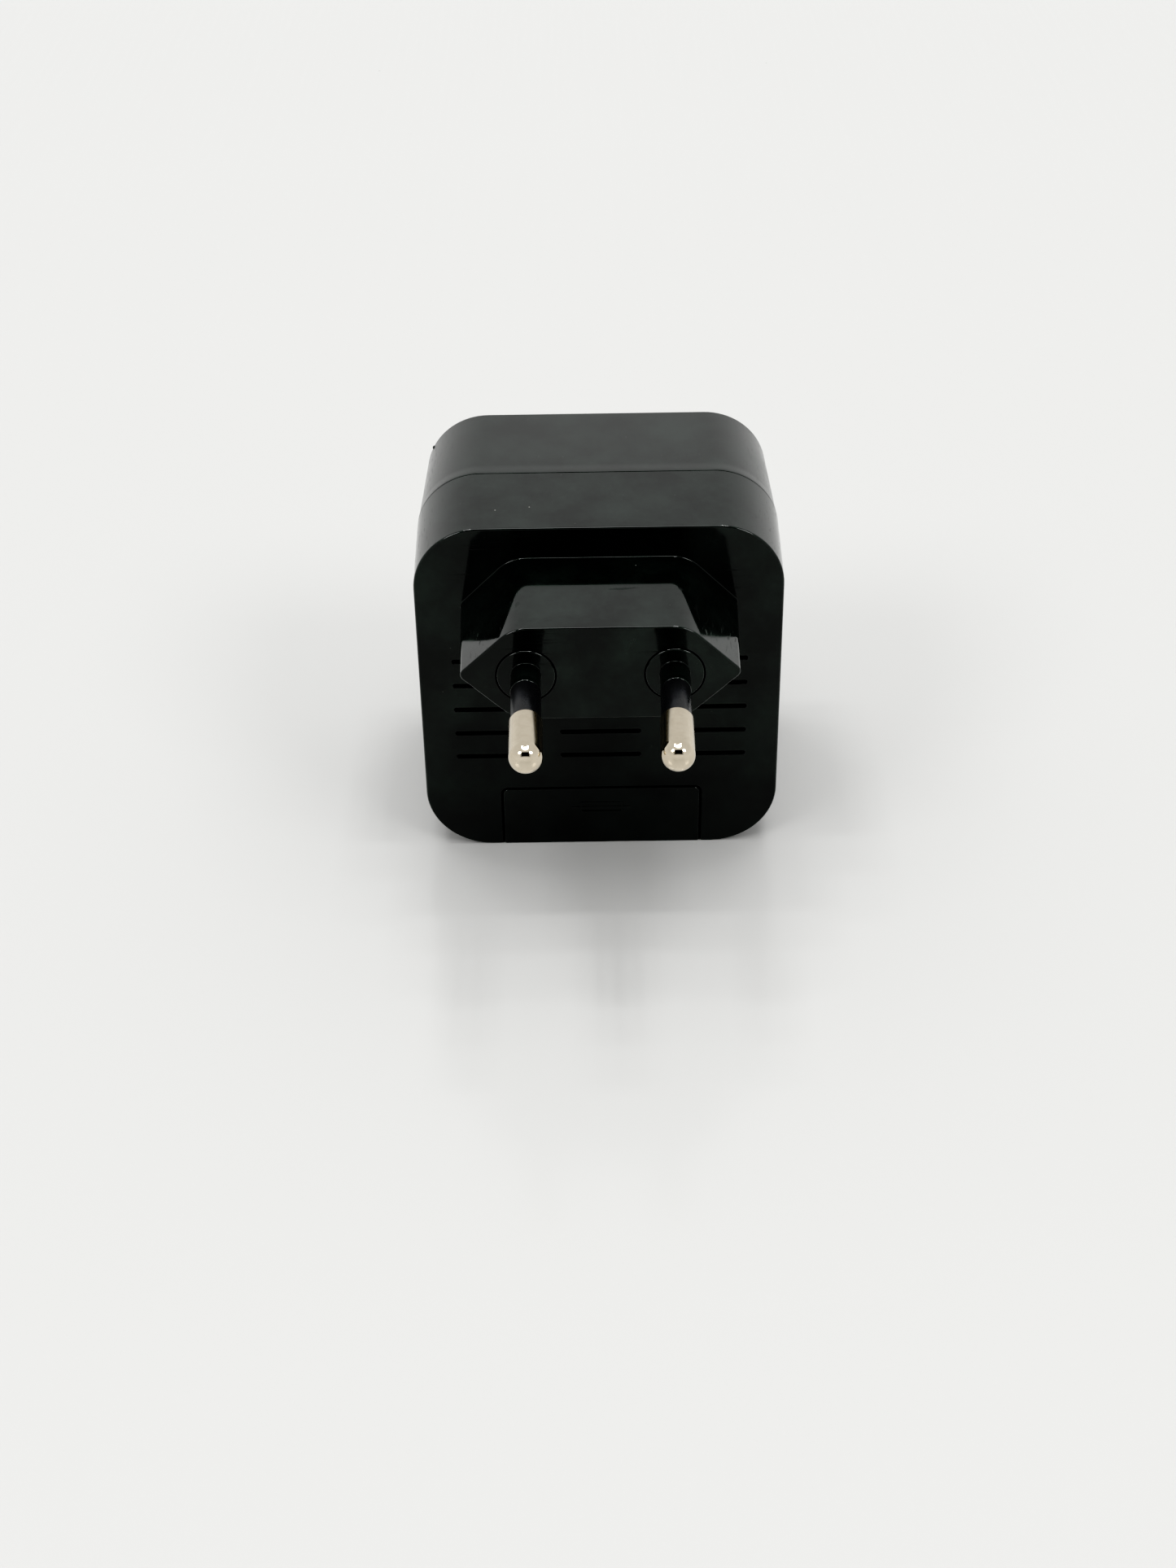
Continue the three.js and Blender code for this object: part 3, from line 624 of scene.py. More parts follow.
@dataclass(frozen=True)
class PinNickel:
    """Warm bright nickel: the shaft brushed askew and dulled, the tip polished by use."""

    name: str
    color: Triple = (0.67, 0.6, 0.485)
    tarnish: Triple = (0.6, 0.53, 0.415)
    tip_mm: float = -50.0
    polished: float = 0.05
    brushed: tuple[float, float] = (0.17, 0.21)
    stroke_depth: float = 0.0003

    def make(self) -> bpy.types.Material:
        """Builds the material.

        Returns:
            The material.
        """
        recipe = Recipe(self.name, Metallic=1.0)
        cloud = recipe.noise(1.3, 4.0, 0.65)
        tarnished = recipe.span(cloud, 0.42, 0.78, 0.0, 1.0)
        recipe.set(Base_Color=recipe.blend(tarnished, self.color, self.tarnish))
        along = recipe.add("SeparateXYZ", {0: recipe.coordinates}).outputs["Y"]
        shaft = recipe.span(along, self.tip_mm * MM, (self.tip_mm + 0.5) * MM, 0.0, 1.0)
        stroke = recipe.noise(0.22, 2.0, 0.6, recipe.stretched((0.45, 2.2, 1.0), (0.2, 0.5, 0.6)))
        mix = recipe.math("MULTIPLY", recipe.math("ADD", stroke, cloud), 0.5)
        dull = recipe.math("MULTIPLY", shaft, recipe.span(mix, 0.38, 0.66, *self.brushed))
        recipe.set(Roughness=recipe.math("MAXIMUM", dull, self.polished))
        recipe.set(Normal=recipe.bump(recipe.math("MULTIPLY", stroke, shaft), self.stroke_depth))
        return recipe.material


@dataclass(frozen=True)
class Ceramic:
    """White ceramic with a faint speckle."""

    name: str = "ceramic"
    color: Triple = (0.78, 0.75, 0.68)

    def make(self) -> bpy.types.Material:
        """Builds the material.

        Returns:
            The material.
        """
        recipe = Recipe(self.name, IOR=1.55)
        speckle = recipe.specks(0.7, 0.12)
        cloud = recipe.noise(0.5, 3.0)
        recipe.set(Base_Color=recipe.blend(speckle, self.color, (0.5, 0.46, 0.4)))
        recipe.set(Roughness=recipe.span(cloud, 0.3, 0.7, 0.4, 0.6))
        recipe.set(Normal=recipe.bump(cloud, 0.004))
        return recipe.material


@dataclass(frozen=True)
class BoardMask:
    """Green solder mask over tracks that show as lighter lines."""

    name: str = "board_green"

    def make(self) -> bpy.types.Material:
        """Builds the material.

        Returns:
            The material.
        """
        recipe = Recipe(self.name, IOR=1.5)
        tracks = recipe.noise(2.5, 0.0, 0.5, recipe.stretched((1.0, 0.15, 1.0)))
        edge = recipe.span(tracks, 0.49, 0.51, 0.0, 1.0)
        cloth = recipe.noise(0.3, 1.0)
        recipe.set(Base_Color=recipe.blend(edge, (0.015, 0.1, 0.035), (0.03, 0.2, 0.07)))
        recipe.set(Roughness=recipe.span(cloth, 0.3, 0.7, 0.25, 0.4))
        recipe.set(Normal=recipe.bump(edge, 0.02))
        return recipe.material


FINISHES = {
    "shell_black": PolishedPlastic("shell_black"),
    "shell_satin": PolishedPlastic("shell_satin", gloss=(0.14, 0.24), ripple=0.0022),
    "sleeve_grey": MattePlastic("sleeve_grey", (0.008, 0.0085, 0.0095), 0.3, 0.16, 0.008, 0.5),
    "inner_black": MattePlastic("inner_black", (0.03, 0.03, 0.032), 0.42),
    "nickel": PlatedMetal("nickel", (0.66, 0.59, 0.475), (0.56, 0.48, 0.36), 0.07),
    "pin_nickel": PinNickel("pin_nickel"),
    "brass": PlatedMetal("brass", (0.78, 0.56, 0.24), (0.5, 0.34, 0.14), 0.3),
    "steel": PlatedMetal("steel", (0.62, 0.62, 0.62), (0.45, 0.45, 0.46), 0.26, (6.0, 0.5, 0.5)),
    "ceramic": Ceramic(),
    "board_green": BoardMask(),
    "ferrite": MattePlastic("ferrite", (0.03, 0.03, 0.034), 0.7, 0.2, 0.01),
    "tape_yellow": MattePlastic("tape_yellow", (0.62, 0.42, 0.04), 0.35, 0.5, 0.004),
    "capacitor_blue": MattePlastic("capacitor_blue", (0.02, 0.06, 0.24), 0.3, 0.4, 0.002),
}


class Wardrobe:
    """Makes each finish once and hands it out."""

    def __init__(self) -> None:
        """Starts with nothing made."""
        self.made: dict[str, bpy.types.Material] = {}

    def finish(self, name: str) -> bpy.types.Material:
        """The material of that name, made at its first use.

        Args:
            name: the finish's name.

        Returns:
            The material.
        """
        if name not in self.made:
            self.made[name] = FINISHES[name].make()
        return self.made[name]

    def dress(self, piece: bpy.types.Object, name: str) -> bpy.types.Object:
        """Gives a piece its finish.

        Args:
            piece: the object.
            name: the finish's name.

        Returns:
            The same object.
        """
        piece.data.materials.clear()
        piece.data.materials.append(self.finish(name))
        return piece

    def dress_node(self, node: str, name: str) -> None:
        """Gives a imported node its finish, leaving its mesh alone.

        Args:
            node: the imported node's name.
            name: the finish's name.
        """
        material = self.finish(name)
        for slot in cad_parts[node].material_slots:
            slot.material = material


@dataclass
class Assembly:
    """A group of pieces that share a wardrobe. Each kind builds its own meshes."""

    wardrobe: Wardrobe

    def place(self, piece: bpy.types.Object, body: Body, finish: str, slot: str, *nodes: str) -> None:
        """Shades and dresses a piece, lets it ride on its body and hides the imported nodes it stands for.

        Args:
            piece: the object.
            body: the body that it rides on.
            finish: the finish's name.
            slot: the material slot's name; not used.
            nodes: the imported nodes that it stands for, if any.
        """
        shade(piece)
        self.wardrobe.dress(piece, finish)
        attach(piece, body.value)
        if nodes:
            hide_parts(*nodes)
        LOG.info("%s: %d faces, rides on %s", piece.name, len(piece.data.polygons), body.value)


# ---------------------------------------------------------------- casing

@dataclass
class FrontShell(Assembly):
    """Front half of the casing, with the plug boss, the vents and the drawer's opening."""

    seam_half: float = 23.7
    corner: float = 8.65
    front_half: float = 23.45
    front_top: float = 48.65
    edge: float = 0.26
    wall: float = 2.0
    boss_z: float = 37.6
    boss_half: tuple[float, float] = (17.4, 17.94)
    boss_rise: tuple[float, float] = (6.5, 6.86)
    boss_flat: tuple[float, float] = (10.57, 11.1)
    boss_radii: tuple[float, float] = (0.9, 5.2)
    boss_length: float = 16.4
    boss_edge: float = 0.22
    boss_foot: float = 0.15
    tongue_inset: float = 1.3
    room_inset: float = 2.25
    vent_rows: int = 5
    vent_top: float = 29.25
    vent_pitch: float = 3.7
    vent_half: float = 5.3
    vent_rise: float = 0.28
    vent_columns: tuple[float, ...] = (-13.8, 0.0, 13.8)
    vent_flare: float = 0.08
    drawer_gap: float = 0.25
    drawer_corner: float = 1.0
    drawer_flare: float = 0.1
    bore: float = 3.7
    bore_flare: float = 0.06
    seam_gap: float = 0.08
    tongue_reach: float = 1.5
    pin_x: float = 9.03
    pin_z: float = 37.4

    def __post_init__(self) -> None:
        """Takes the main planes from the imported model."""
        self.front = low("fuse_drawer")[1]
        self.seam = low("rear_shell")[1] - self.seam_gap
        self.top = high("rear_shell")[2]

    def seam_outline(self, inset: float) -> Outline:
        """The body's outline at the seam, drawn in by an inset."""
        return rect(self.seam_half - inset, inset, self.top - inset, self.corner - inset, steps=20)

    def body(self) -> bpy.types.Object:
        """Drafted outer skin with a rounded front edge and a fine edge at the seam.

        Returns:
            The object, not hollow yet.
        """
        start = rect(self.front_half, 0, self.front_top, self.corner, steps=20)
        end = self.seam_outline(0.0)
        seam_edge = [(self.seam - 0.07, 0.0), (self.seam - 0.02, -0.02), (self.seam, -0.07)]
        stations = round_over(self.front, self.edge, 1, 6) + seam_edge
        return put_mesh("front_shell_body", prism(start, stations, end))

    def boss_outline(self, end: int) -> Outline:
        """Six-sided outline of the boss, at its face (0) or its base (1).

        Args:
            end: 0 for the face, 1 for the base.

        Returns:
            The outline.
        """
        half, rise, flat = self.boss_half[end], self.boss_rise[end], self.boss_flat[end]
        upper = [[half, 0], [flat, rise], [-flat, rise]]
        corners = np.array(upper + [[-x, -z] for x, z in upper])
        point, shoulder = self.boss_radii
        radii = np.array([point, shoulder, shoulder] * 2)
        return Outline(corners + [0, self.boss_z], radii, 10)

    def boss(self) -> Solid:
        """Boss with a rounded edge at its face and a small hollow round at its foot.

        Returns:
            Vertices and faces.
        """
        tip = self.front - self.boss_length
        stations = round_over(tip, self.boss_edge, 1, 5) + hollow_round(self.front, self.boss_foot)
        stations.append((self.front + 1.0, self.boss_foot))
        return prism(self.boss_outline(0), stations, self.boss_outline(1))

    def cutters(self) -> Solid:
        """Vent slots, pin bores and the drawer's opening, each with a rounded mouth.

        Returns:
            Vertices and faces.
        """
        parts = []
        slot = hole_stations(self.front, self.vent_flare, self.wall + 1, 1)
        for row in range(self.vent_rows):
            z = self.vent_top - row * self.vent_pitch
            for x in self.vent_columns:
                rise = self.vent_rise
                shape = rect(self.vent_half, z - rise, z + rise, rise - 0.02, x, 4)
                parts.append(prism(shape, slot))
        face = self.front - self.boss_length
        bore = hole_stations(face, self.bore_flare, self.boss_length + self.wall + 1, 1)
        for side in Side:
            shape = disc(self.bore, side.value * self.pin_x, self.pin_z)
            parts.append(prism(shape, bore))
        half, back, top = high("fuse_drawer") + self.drawer_gap
        drawer = rect(half, -4.0, top, self.drawer_corner, steps=6)
        deep = back + 0.05 - self.front
        parts.append(prism(drawer, hole_stations(self.front, self.drawer_flare, deep, 1)))
        return gathered(parts)

    def build(self) -> None:
        """Joins skin, boss and tongue, hollows them and cuts the openings."""
        end = self.seam + self.tongue_reach
        reach = [(self.seam - 1, 0.0), (end - 0.1, 0.0), (end, -0.1)]
        inside = [(self.front + self.wall, 0.0), (self.seam + 5, 0.0)]
        tongue = prism(self.seam_outline(self.tongue_inset), reach)
        piece = work_on(self.body(), Cut.TOGETHER, self.boss(), tongue)
        work_on(piece, Cut.AWAY, prism(self.seam_outline(self.room_inset), inside), self.cutters())
        self.place(piece, Body.CASING, "shell_black", "shell_black", "front_shell")


@dataclass
class RearShell(Assembly):
    """Rear half of the casing, with its flared lip and the windows in its rear face."""

    seam_half: float = 23.7
    rear_half: float = 23.25
    rear_top: float = 48.5
    corner: float = 8.65
    lip: float = 2.4
    flare: float = 0.06
    edge: float = 0.35
    wall: float = 2.0
    plate: Triple = (17.9, 13.6, 45.4)
    port_x: float = 7.6
    port_half: float = 6.8
    screw: tuple[float, float] = (18.0, 7.0)
    tube: float = 3.3
    recess: tuple[float, float] = (2.55, 4.1)
    room_inset: float = 2.25
    rebate_inset: float = 1.0
    nub_angle: float = math.radians(152)
    nub_radius: float = 0.3
    nub_sunk: float = 0.16
    nub_back: float = 0.6
    window_gap: float = 0.2
    window_corner: float = 3.9
    window_flare: float = 0.15
    port_gap: float = 0.25
    port_corner: float = 0.9
    mouth_flare: float = 0.2
    rebate_depth: float = 1.6

    def __post_init__(self) -> None:
        """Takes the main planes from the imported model."""
        self.seam = low("rear_shell")[1]
        self.rear = high("rear_shell")[1]
        self.top = high("rear_shell")[2]

    def seam_outline(self, inset: float, steps: int = 20) -> Outline:
        """The shell's outline at the seam, drawn in by an inset."""
        return rect(self.seam_half - inset, inset, self.top - inset, self.corner - inset, steps=steps)

    def skin(self) -> bpy.types.Object:
        """Drafted outer skin, whose lip flares out towards the seam as a raised cosine over its length.

        Returns:
            The object, not hollow yet.
        """
        start = self.seam_outline(0.0)
        end = rect(self.rear_half, 0, self.rear_top, self.corner, steps=20)
        lip = [(self.seam, -0.07), (self.seam + 0.02, -0.02), (self.seam + 0.1, 0.0)]
        for share in np.linspace(0.15, 1.0, 7):
            drawn_in = self.flare * (1 - math.cos(math.pi * share)) / 2
            lip.append((self.seam + 0.1 + self.lip * share, -drawn_in))
        ends = [(y, offset - self.flare) for y, offset in round_over(self.rear, self.edge, -1, 6)[::-1]]
        return put_mesh("rear_shell_body", prism(start, lip + ends, end))

    def nub(self) -> Solid:
        """Small moulding nub left on the rear left corner.

        Returns:
            Vertices and faces.
        """
        reach = self.corner - self.nub_sunk
        centre = (-self.rear_half + self.corner + reach * math.cos(self.nub_angle), 0,
                  self.rear_top - self.corner + reach * math.sin(self.nub_angle))
        return turned_profile(arc((0, self.rear - self.nub_back), self.nub_radius, 90, -90, 8), centre, 1, 16)

    def cutters(self) -> Solid:
        """Socket window, port windows and screw recesses in the rear face.

        Returns:
            Vertices and faces.
        """
        half, plate_low, plate_high = self.plate
        gap, deep = self.window_gap, self.wall + 1
        window = rect(half + gap, plate_low - gap, plate_high + gap, self.window_corner, steps=10)
        parts = [prism(window, hole_stations(self.rear, self.window_flare, deep, -1))]
        port_low = low("usb_shell_left")[2] - self.port_gap
        port_high = high("usb_shell_left")[2] + self.port_gap
        for side in Side:
            port = rect(self.port_half, port_low, port_high, self.port_corner, side.value * self.port_x, 5)
            parts.append(prism(port, hole_stations(self.rear, self.mouth_flare, deep, -1)))
            recess = disc(self.recess[0], side.value * self.screw[0], self.screw[1])
            parts.append(prism(recess, hole_stations(self.rear, self.mouth_flare, self.recess[1], -1)))
        return gathered(parts)

    def build(self) -> None:
        """Hollows the skin, adds the screw tubes and cuts the windows."""
        inside = [(self.seam - 1, 0.0), (self.rear - self.wall, 0.0)]
        step = [(self.seam - 1, 0.0), (self.seam + self.rebate_depth, 0.0)]
        upright = [(self.seam + 2, 0.0), (self.rear - 0.7, 0.0)]
        x, z = self.screw
        tubes = gathered([prism(disc(self.tube, side.value * x, z), upright) for side in Side])
        room, rebate = self.seam_outline(self.room_inset, 12), self.seam_outline(self.rebate_inset)
        piece = work_on(self.skin(), Cut.AWAY, prism(room, inside), prism(rebate, step))
        work_on(piece, Cut.TOGETHER, tubes, self.nub())
        work_on(piece, Cut.AWAY, self.cutters())
        self.place(piece, Body.CASING, "shell_satin", "shell_black", "rear_shell")


# ---------------------------------------------------------------- plug pins

@dataclass
class PlugPin(Assembly):
    """One pin with its sleeve and its bush. The pin and its sleeve lean towards the other pin."""

    side: Side = Side.LEFT
    lean: float = math.radians(0.84)
    radius: float = 2.0
    core: float = 1.2
    length: float = 19.0
    tail: float = 24.1
    collar: float = 3.8
    sleeve_end: float = 10.4
    sleeve_radius: float = 1.82
    sleeve_edge: float = 0.07
    disc_radius: float = 3.6
    tip_length: float = 1.75
    tip_power: float = 2.2
    shoulder: float = 0.12
    tail_radius: float = 1.0
    collar_radius: float = 1.83
    collar_edge: float = 0.16
    collar_foot: float = 0.12
    rim: float = 0.2
    rim_back: float = 0.07
    flange: float = 4.7
    wall: float = 2.0

    def __post_init__(self) -> None:
        """Finds the pin's foot, where its axis crosses the boss's face."""
        bush = f"pin_bush_{self.side.label}"
        middle = (low(bush) + high(bush)) / 2
        self.face = low(bush)[1] + self.collar
        self.foot = np.array([middle[0], self.face, middle[2]])

    def leaning(self, body: Solid) -> Solid:
        """Turns a body about the upright line through the pin's foot.

        Args:
            body: vertices and faces.

        Returns:
            The turned vertices and the same faces.
        """
        vertices, faces = body
        angle = -self.side.value * self.lean
        cosine, sine = math.cos(angle), math.sin(angle)
        turn = np.array([[cosine, -sine, 0], [sine, cosine, 0], [0, 0, 1]])
        return (vertices - self.foot) @ turn.T + self.foot, faces

    def metal(self) -> bpy.types.Object:
        """Pin: a thin core inside the sleeve, then the full metal end with a rounded tip.

        The tip is a quarter of an ellipse, 2.0 mm by 1.75 mm, squared off a little by a power of 2.2.

        Returns:
            The object.
        """
        f = self.face
        angle = np.linspace(0, math.pi / 2, 16)
        power = 2 / self.tip_power
        tip = np.column_stack([self.radius * np.cos(angle) ** power,
                               f - self.length + self.tip_length * (1 - np.sin(angle) ** power)])
        r, tail = self.shoulder, self.tail_radius
        shoulder = arc((self.radius - r, f - self.sleeve_end - 0.02), r, 90, 0, 4)
        profile = np.vstack([
            [[0, f + self.tail], [tail, f + self.tail], [tail, f + 6], [self.core, f + 4],
             [self.core, f - self.sleeve_end + 0.1]],
            shoulder, tip])
        profile[-1, 0] = 0.0
        return put_mesh(f"pin_{self.side.label}_metal", self.leaning(turned_profile(profile, self.foot)))

    def sleeve(self) -> bpy.types.Object:
        """Matte sleeve with fine rounded ends.

        Returns:
            The object.
        """
        start, end = self.face - self.collar - 0.06, self.face - self.sleeve_end + 0.08
        inner, outer, r = self.core + 0.25, self.sleeve_radius, self.sleeve_edge
        profile = np.vstack([
            [[inner, start]], arc((outer - r, start - r), r, 90, 0, 3),
            arc((outer - r, end + r), r, 0, -90, 3), [[inner, end], [inner, start]]])
        return put_mesh(f"pin_{self.side.label}_sleeve", self.leaning(turned_profile(profile, self.foot)))

    def bush(self) -> bpy.types.Object:
        """Bush: disc flush in the boss's face, collar on the pin, and an inner flange.

        Returns:
            The object.
        """
        f, r = self.face, self.disc_radius
        hole, inner = self.core + 0.4, low("fuse_drawer")[1] + self.wall
        shoulder, back = inner + 0.3, inner + 1.9
        edge, foot, collar = self.collar_edge, self.collar_foot, self.collar_radius
        profile = np.vstack([
            [[hole, f - self.collar]], arc((collar - edge, f - self.collar + edge), edge, -90, 0, 4),
            arc((collar + foot, f - foot), foot, 180, 90, 4),
            arc((r - self.rim, f + self.rim_back), self.rim, -90, 0, 5),
            [[r, shoulder], [self.flange, shoulder], [self.flange, back], [hole, back],
             [hole, f - self.collar]]])
        return put_mesh(f"pin_{self.side.label}_bush", turned_profile(profile, self.foot))

    def build(self) -> None:
        """Makes the three pieces."""
        label = self.side.label
        self.place(self.metal(), Body.CASING, "pin_nickel", "nickel", f"pin_{label}")
        self.place(self.sleeve(), Body.CASING, "sleeve_grey", "sleeve_grey", f"pin_sleeve_{label}")
        self.place(self.bush(), Body.CASING, "shell_black", "shell_black", f"pin_bush_{label}")


# ---------------------------------------------------------------- fuse drawer

@dataclass
class FuseDrawer(Assembly):
    """Drawer at the foot of the front face, with its tray, cradle and raised fuse symbol, and its fuse."""

    panel: float = 1.9
    floor: float = 1.2
    wall: float = 1.6
    mark_z: float = 5.85
    mark_half: float = 2.9
    mark_rise: float = 0.85
    stroke: float = 0.3
    relief: float = 0.1
    corners: tuple[float, float] = (0.25, 0.8)
    front_edge: float = 0.18
    cradle_half: float = 4.4
    groove: float = 2.7
    cap_radius: float = 2.6
    cap_length: float = 5.0
    cap_round: float = 0.35
    cap_bore: float = 1.6
    tube_radius: float = 2.4
    tube_edge: float = 0.15
    neck: float = 1.3

    def __post_init__(self) -> None:
        """Takes the drawer's box and the fuse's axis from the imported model."""
        self.low, self.high = low("fuse_drawer"), high("fuse_drawer")
        self.fuse = (low("fuse_cap_left") + high("fuse_cap_right")) / 2
        self.fuse_half = high("fuse_cap_right")[0]

    def symbol(self) -> bpy.types.Object:
        """Fuse symbol: a bar's outline with a line through its middle, standing a little proud.

        Returns:
            The object, to be joined to the panel.
        """
        front = self.low[1]
        z, rise, half, w = self.mark_z, self.mark_rise, self.mark_half, self.stroke / 2
        stations = [*round_over(front - self.relief, 0.06, 1, 2), (front + 0.3, 0.0)]
        outer = rect(half, z - rise, z + rise, 0.25, steps=4)
        inner = rect(half - self.stroke, z - rise + self.stroke, z + rise - self.stroke, 0.1, steps=4)
        mark = put_mesh("mark", prism(outer, stations))
        work_on(mark, Cut.AWAY, prism(inner, [(front - 1, 0.0), (front + 1, 0.0)]))
        line = rect(half + 1.1, z - w, z + w, 0.1, steps=3)
        return work_on(mark, Cut.TOGETHER, prism(line, stations))

    def drawer(self) -> bpy.types.Object:
        """Panel, tray, side walls and cradle in one moulding.

        Returns:
            The object.
        """
        half, top, back, front = self.high[0], self.high[2], self.high[1], self.low[1]
        corners = np.array([[-half, 0], [half, 0], [half, top], [-half, top]])
        shape = Outline(corners, np.repeat(self.corners, 2), 6)
        stations = round_over(front, self.front_edge, 1, 4) + [(front + self.panel, 0.0)]
        piece = put_mesh("fuse_drawer_body", prism(shape, stations))
        y = (front + self.panel - 0.5, back)
        axis_y, axis_z = self.fuse[1:]
        work_on(piece, Cut.TOGETHER, block((-half, half), y, (0, self.floor)))
        for side in Side:
            x = side.span(half - 0.01, half - self.wall)
            work_on(piece, Cut.TOGETHER, block(x, (y[0], back - 0.02), (0.01, top - 0.5)))
        for side in Side:
            x = side.span(half - self.wall + 0.3, self.fuse_half + 0.3)
            work_on(piece, Cut.TOGETHER, block(x, (axis_y - 2, axis_y + 2), (0.5, axis_z)))
        wide = (-self.cradle_half, self.cradle_half)
        cradle = put_mesh("cradle", block(wide, (y[0], axis_y + 4), (0.5, axis_z)))
        groove = np.array([[0, -5.5], [self.groove, -5.5], [self.groove, 5.5], [0, 5.5]])
        work_on(cradle, Cut.AWAY, turned_profile(groove, self.fuse, 0))
        combine(piece, cradle, Cut.TOGETHER)
        return combine(piece, self.symbol(), Cut.TOGETHER)

    def cap(self, side: Side) -> bpy.types.Object:
        """Drawn metal cap with a rounded end and a rolled lip.

        Args:
            side: left or right end of the fuse.

        Returns:
            The object.
        """
        end, start = self.fuse_half, self.fuse_half - self.cap_length
        radius, r, bore = self.cap_radius, self.cap_round, self.cap_bore
        profile = np.vstack([
            [[0, end]], arc((radius - r, end - r), r, 90, 0, 5), [[radius, start + 0.5]],
            arc((radius - 0.1, start + 0.2), 0.16, 60, -90, 4),
            [[radius - 0.3, start + 0.06], [bore, start + 0.06], [bore, end - 1.0], [0, end - 1.0]]])
        profile[:, 1] *= side.value
        return put_mesh(f"fuse_{side.label}_cap", turned_profile(profile, self.fuse, 0, 48))

    def tube(self) -> bpy.types.Object:
        """Ceramic tube with necks inside the caps.

        Returns:
            The object.
        """
        half, end = self.fuse_half - self.cap_length - 0.25, self.fuse_half - 1.3
        r, neck = self.tube_edge, self.neck
        outer = self.tube_radius - r
        profile = np.vstack([
            [[0, -end], [neck, -end], [neck, -half]], arc((outer, -half + r), r, -90, 0, 3),
            arc((outer, half - r), r, 0, 90, 3), [[neck, half], [neck, end], [0, end]]])
        return put_mesh("fuse_ceramic", turned_profile(profile, self.fuse, 0, 48))

    def build(self) -> None:
        """Makes the drawer, the fuse's tube and its two caps."""
        self.place(self.drawer(), Body.DRAWER, "shell_black", "shell_black", "fuse_drawer")
        self.place(self.tube(), Body.DRAWER, "ceramic", "ceramic", "fuse_tube")
        for side in Side:
            self.place(self.cap(side), Body.DRAWER, "nickel", "nickel", f"fuse_cap_{side.label}")


# ---------------------------------------------------------------- socket

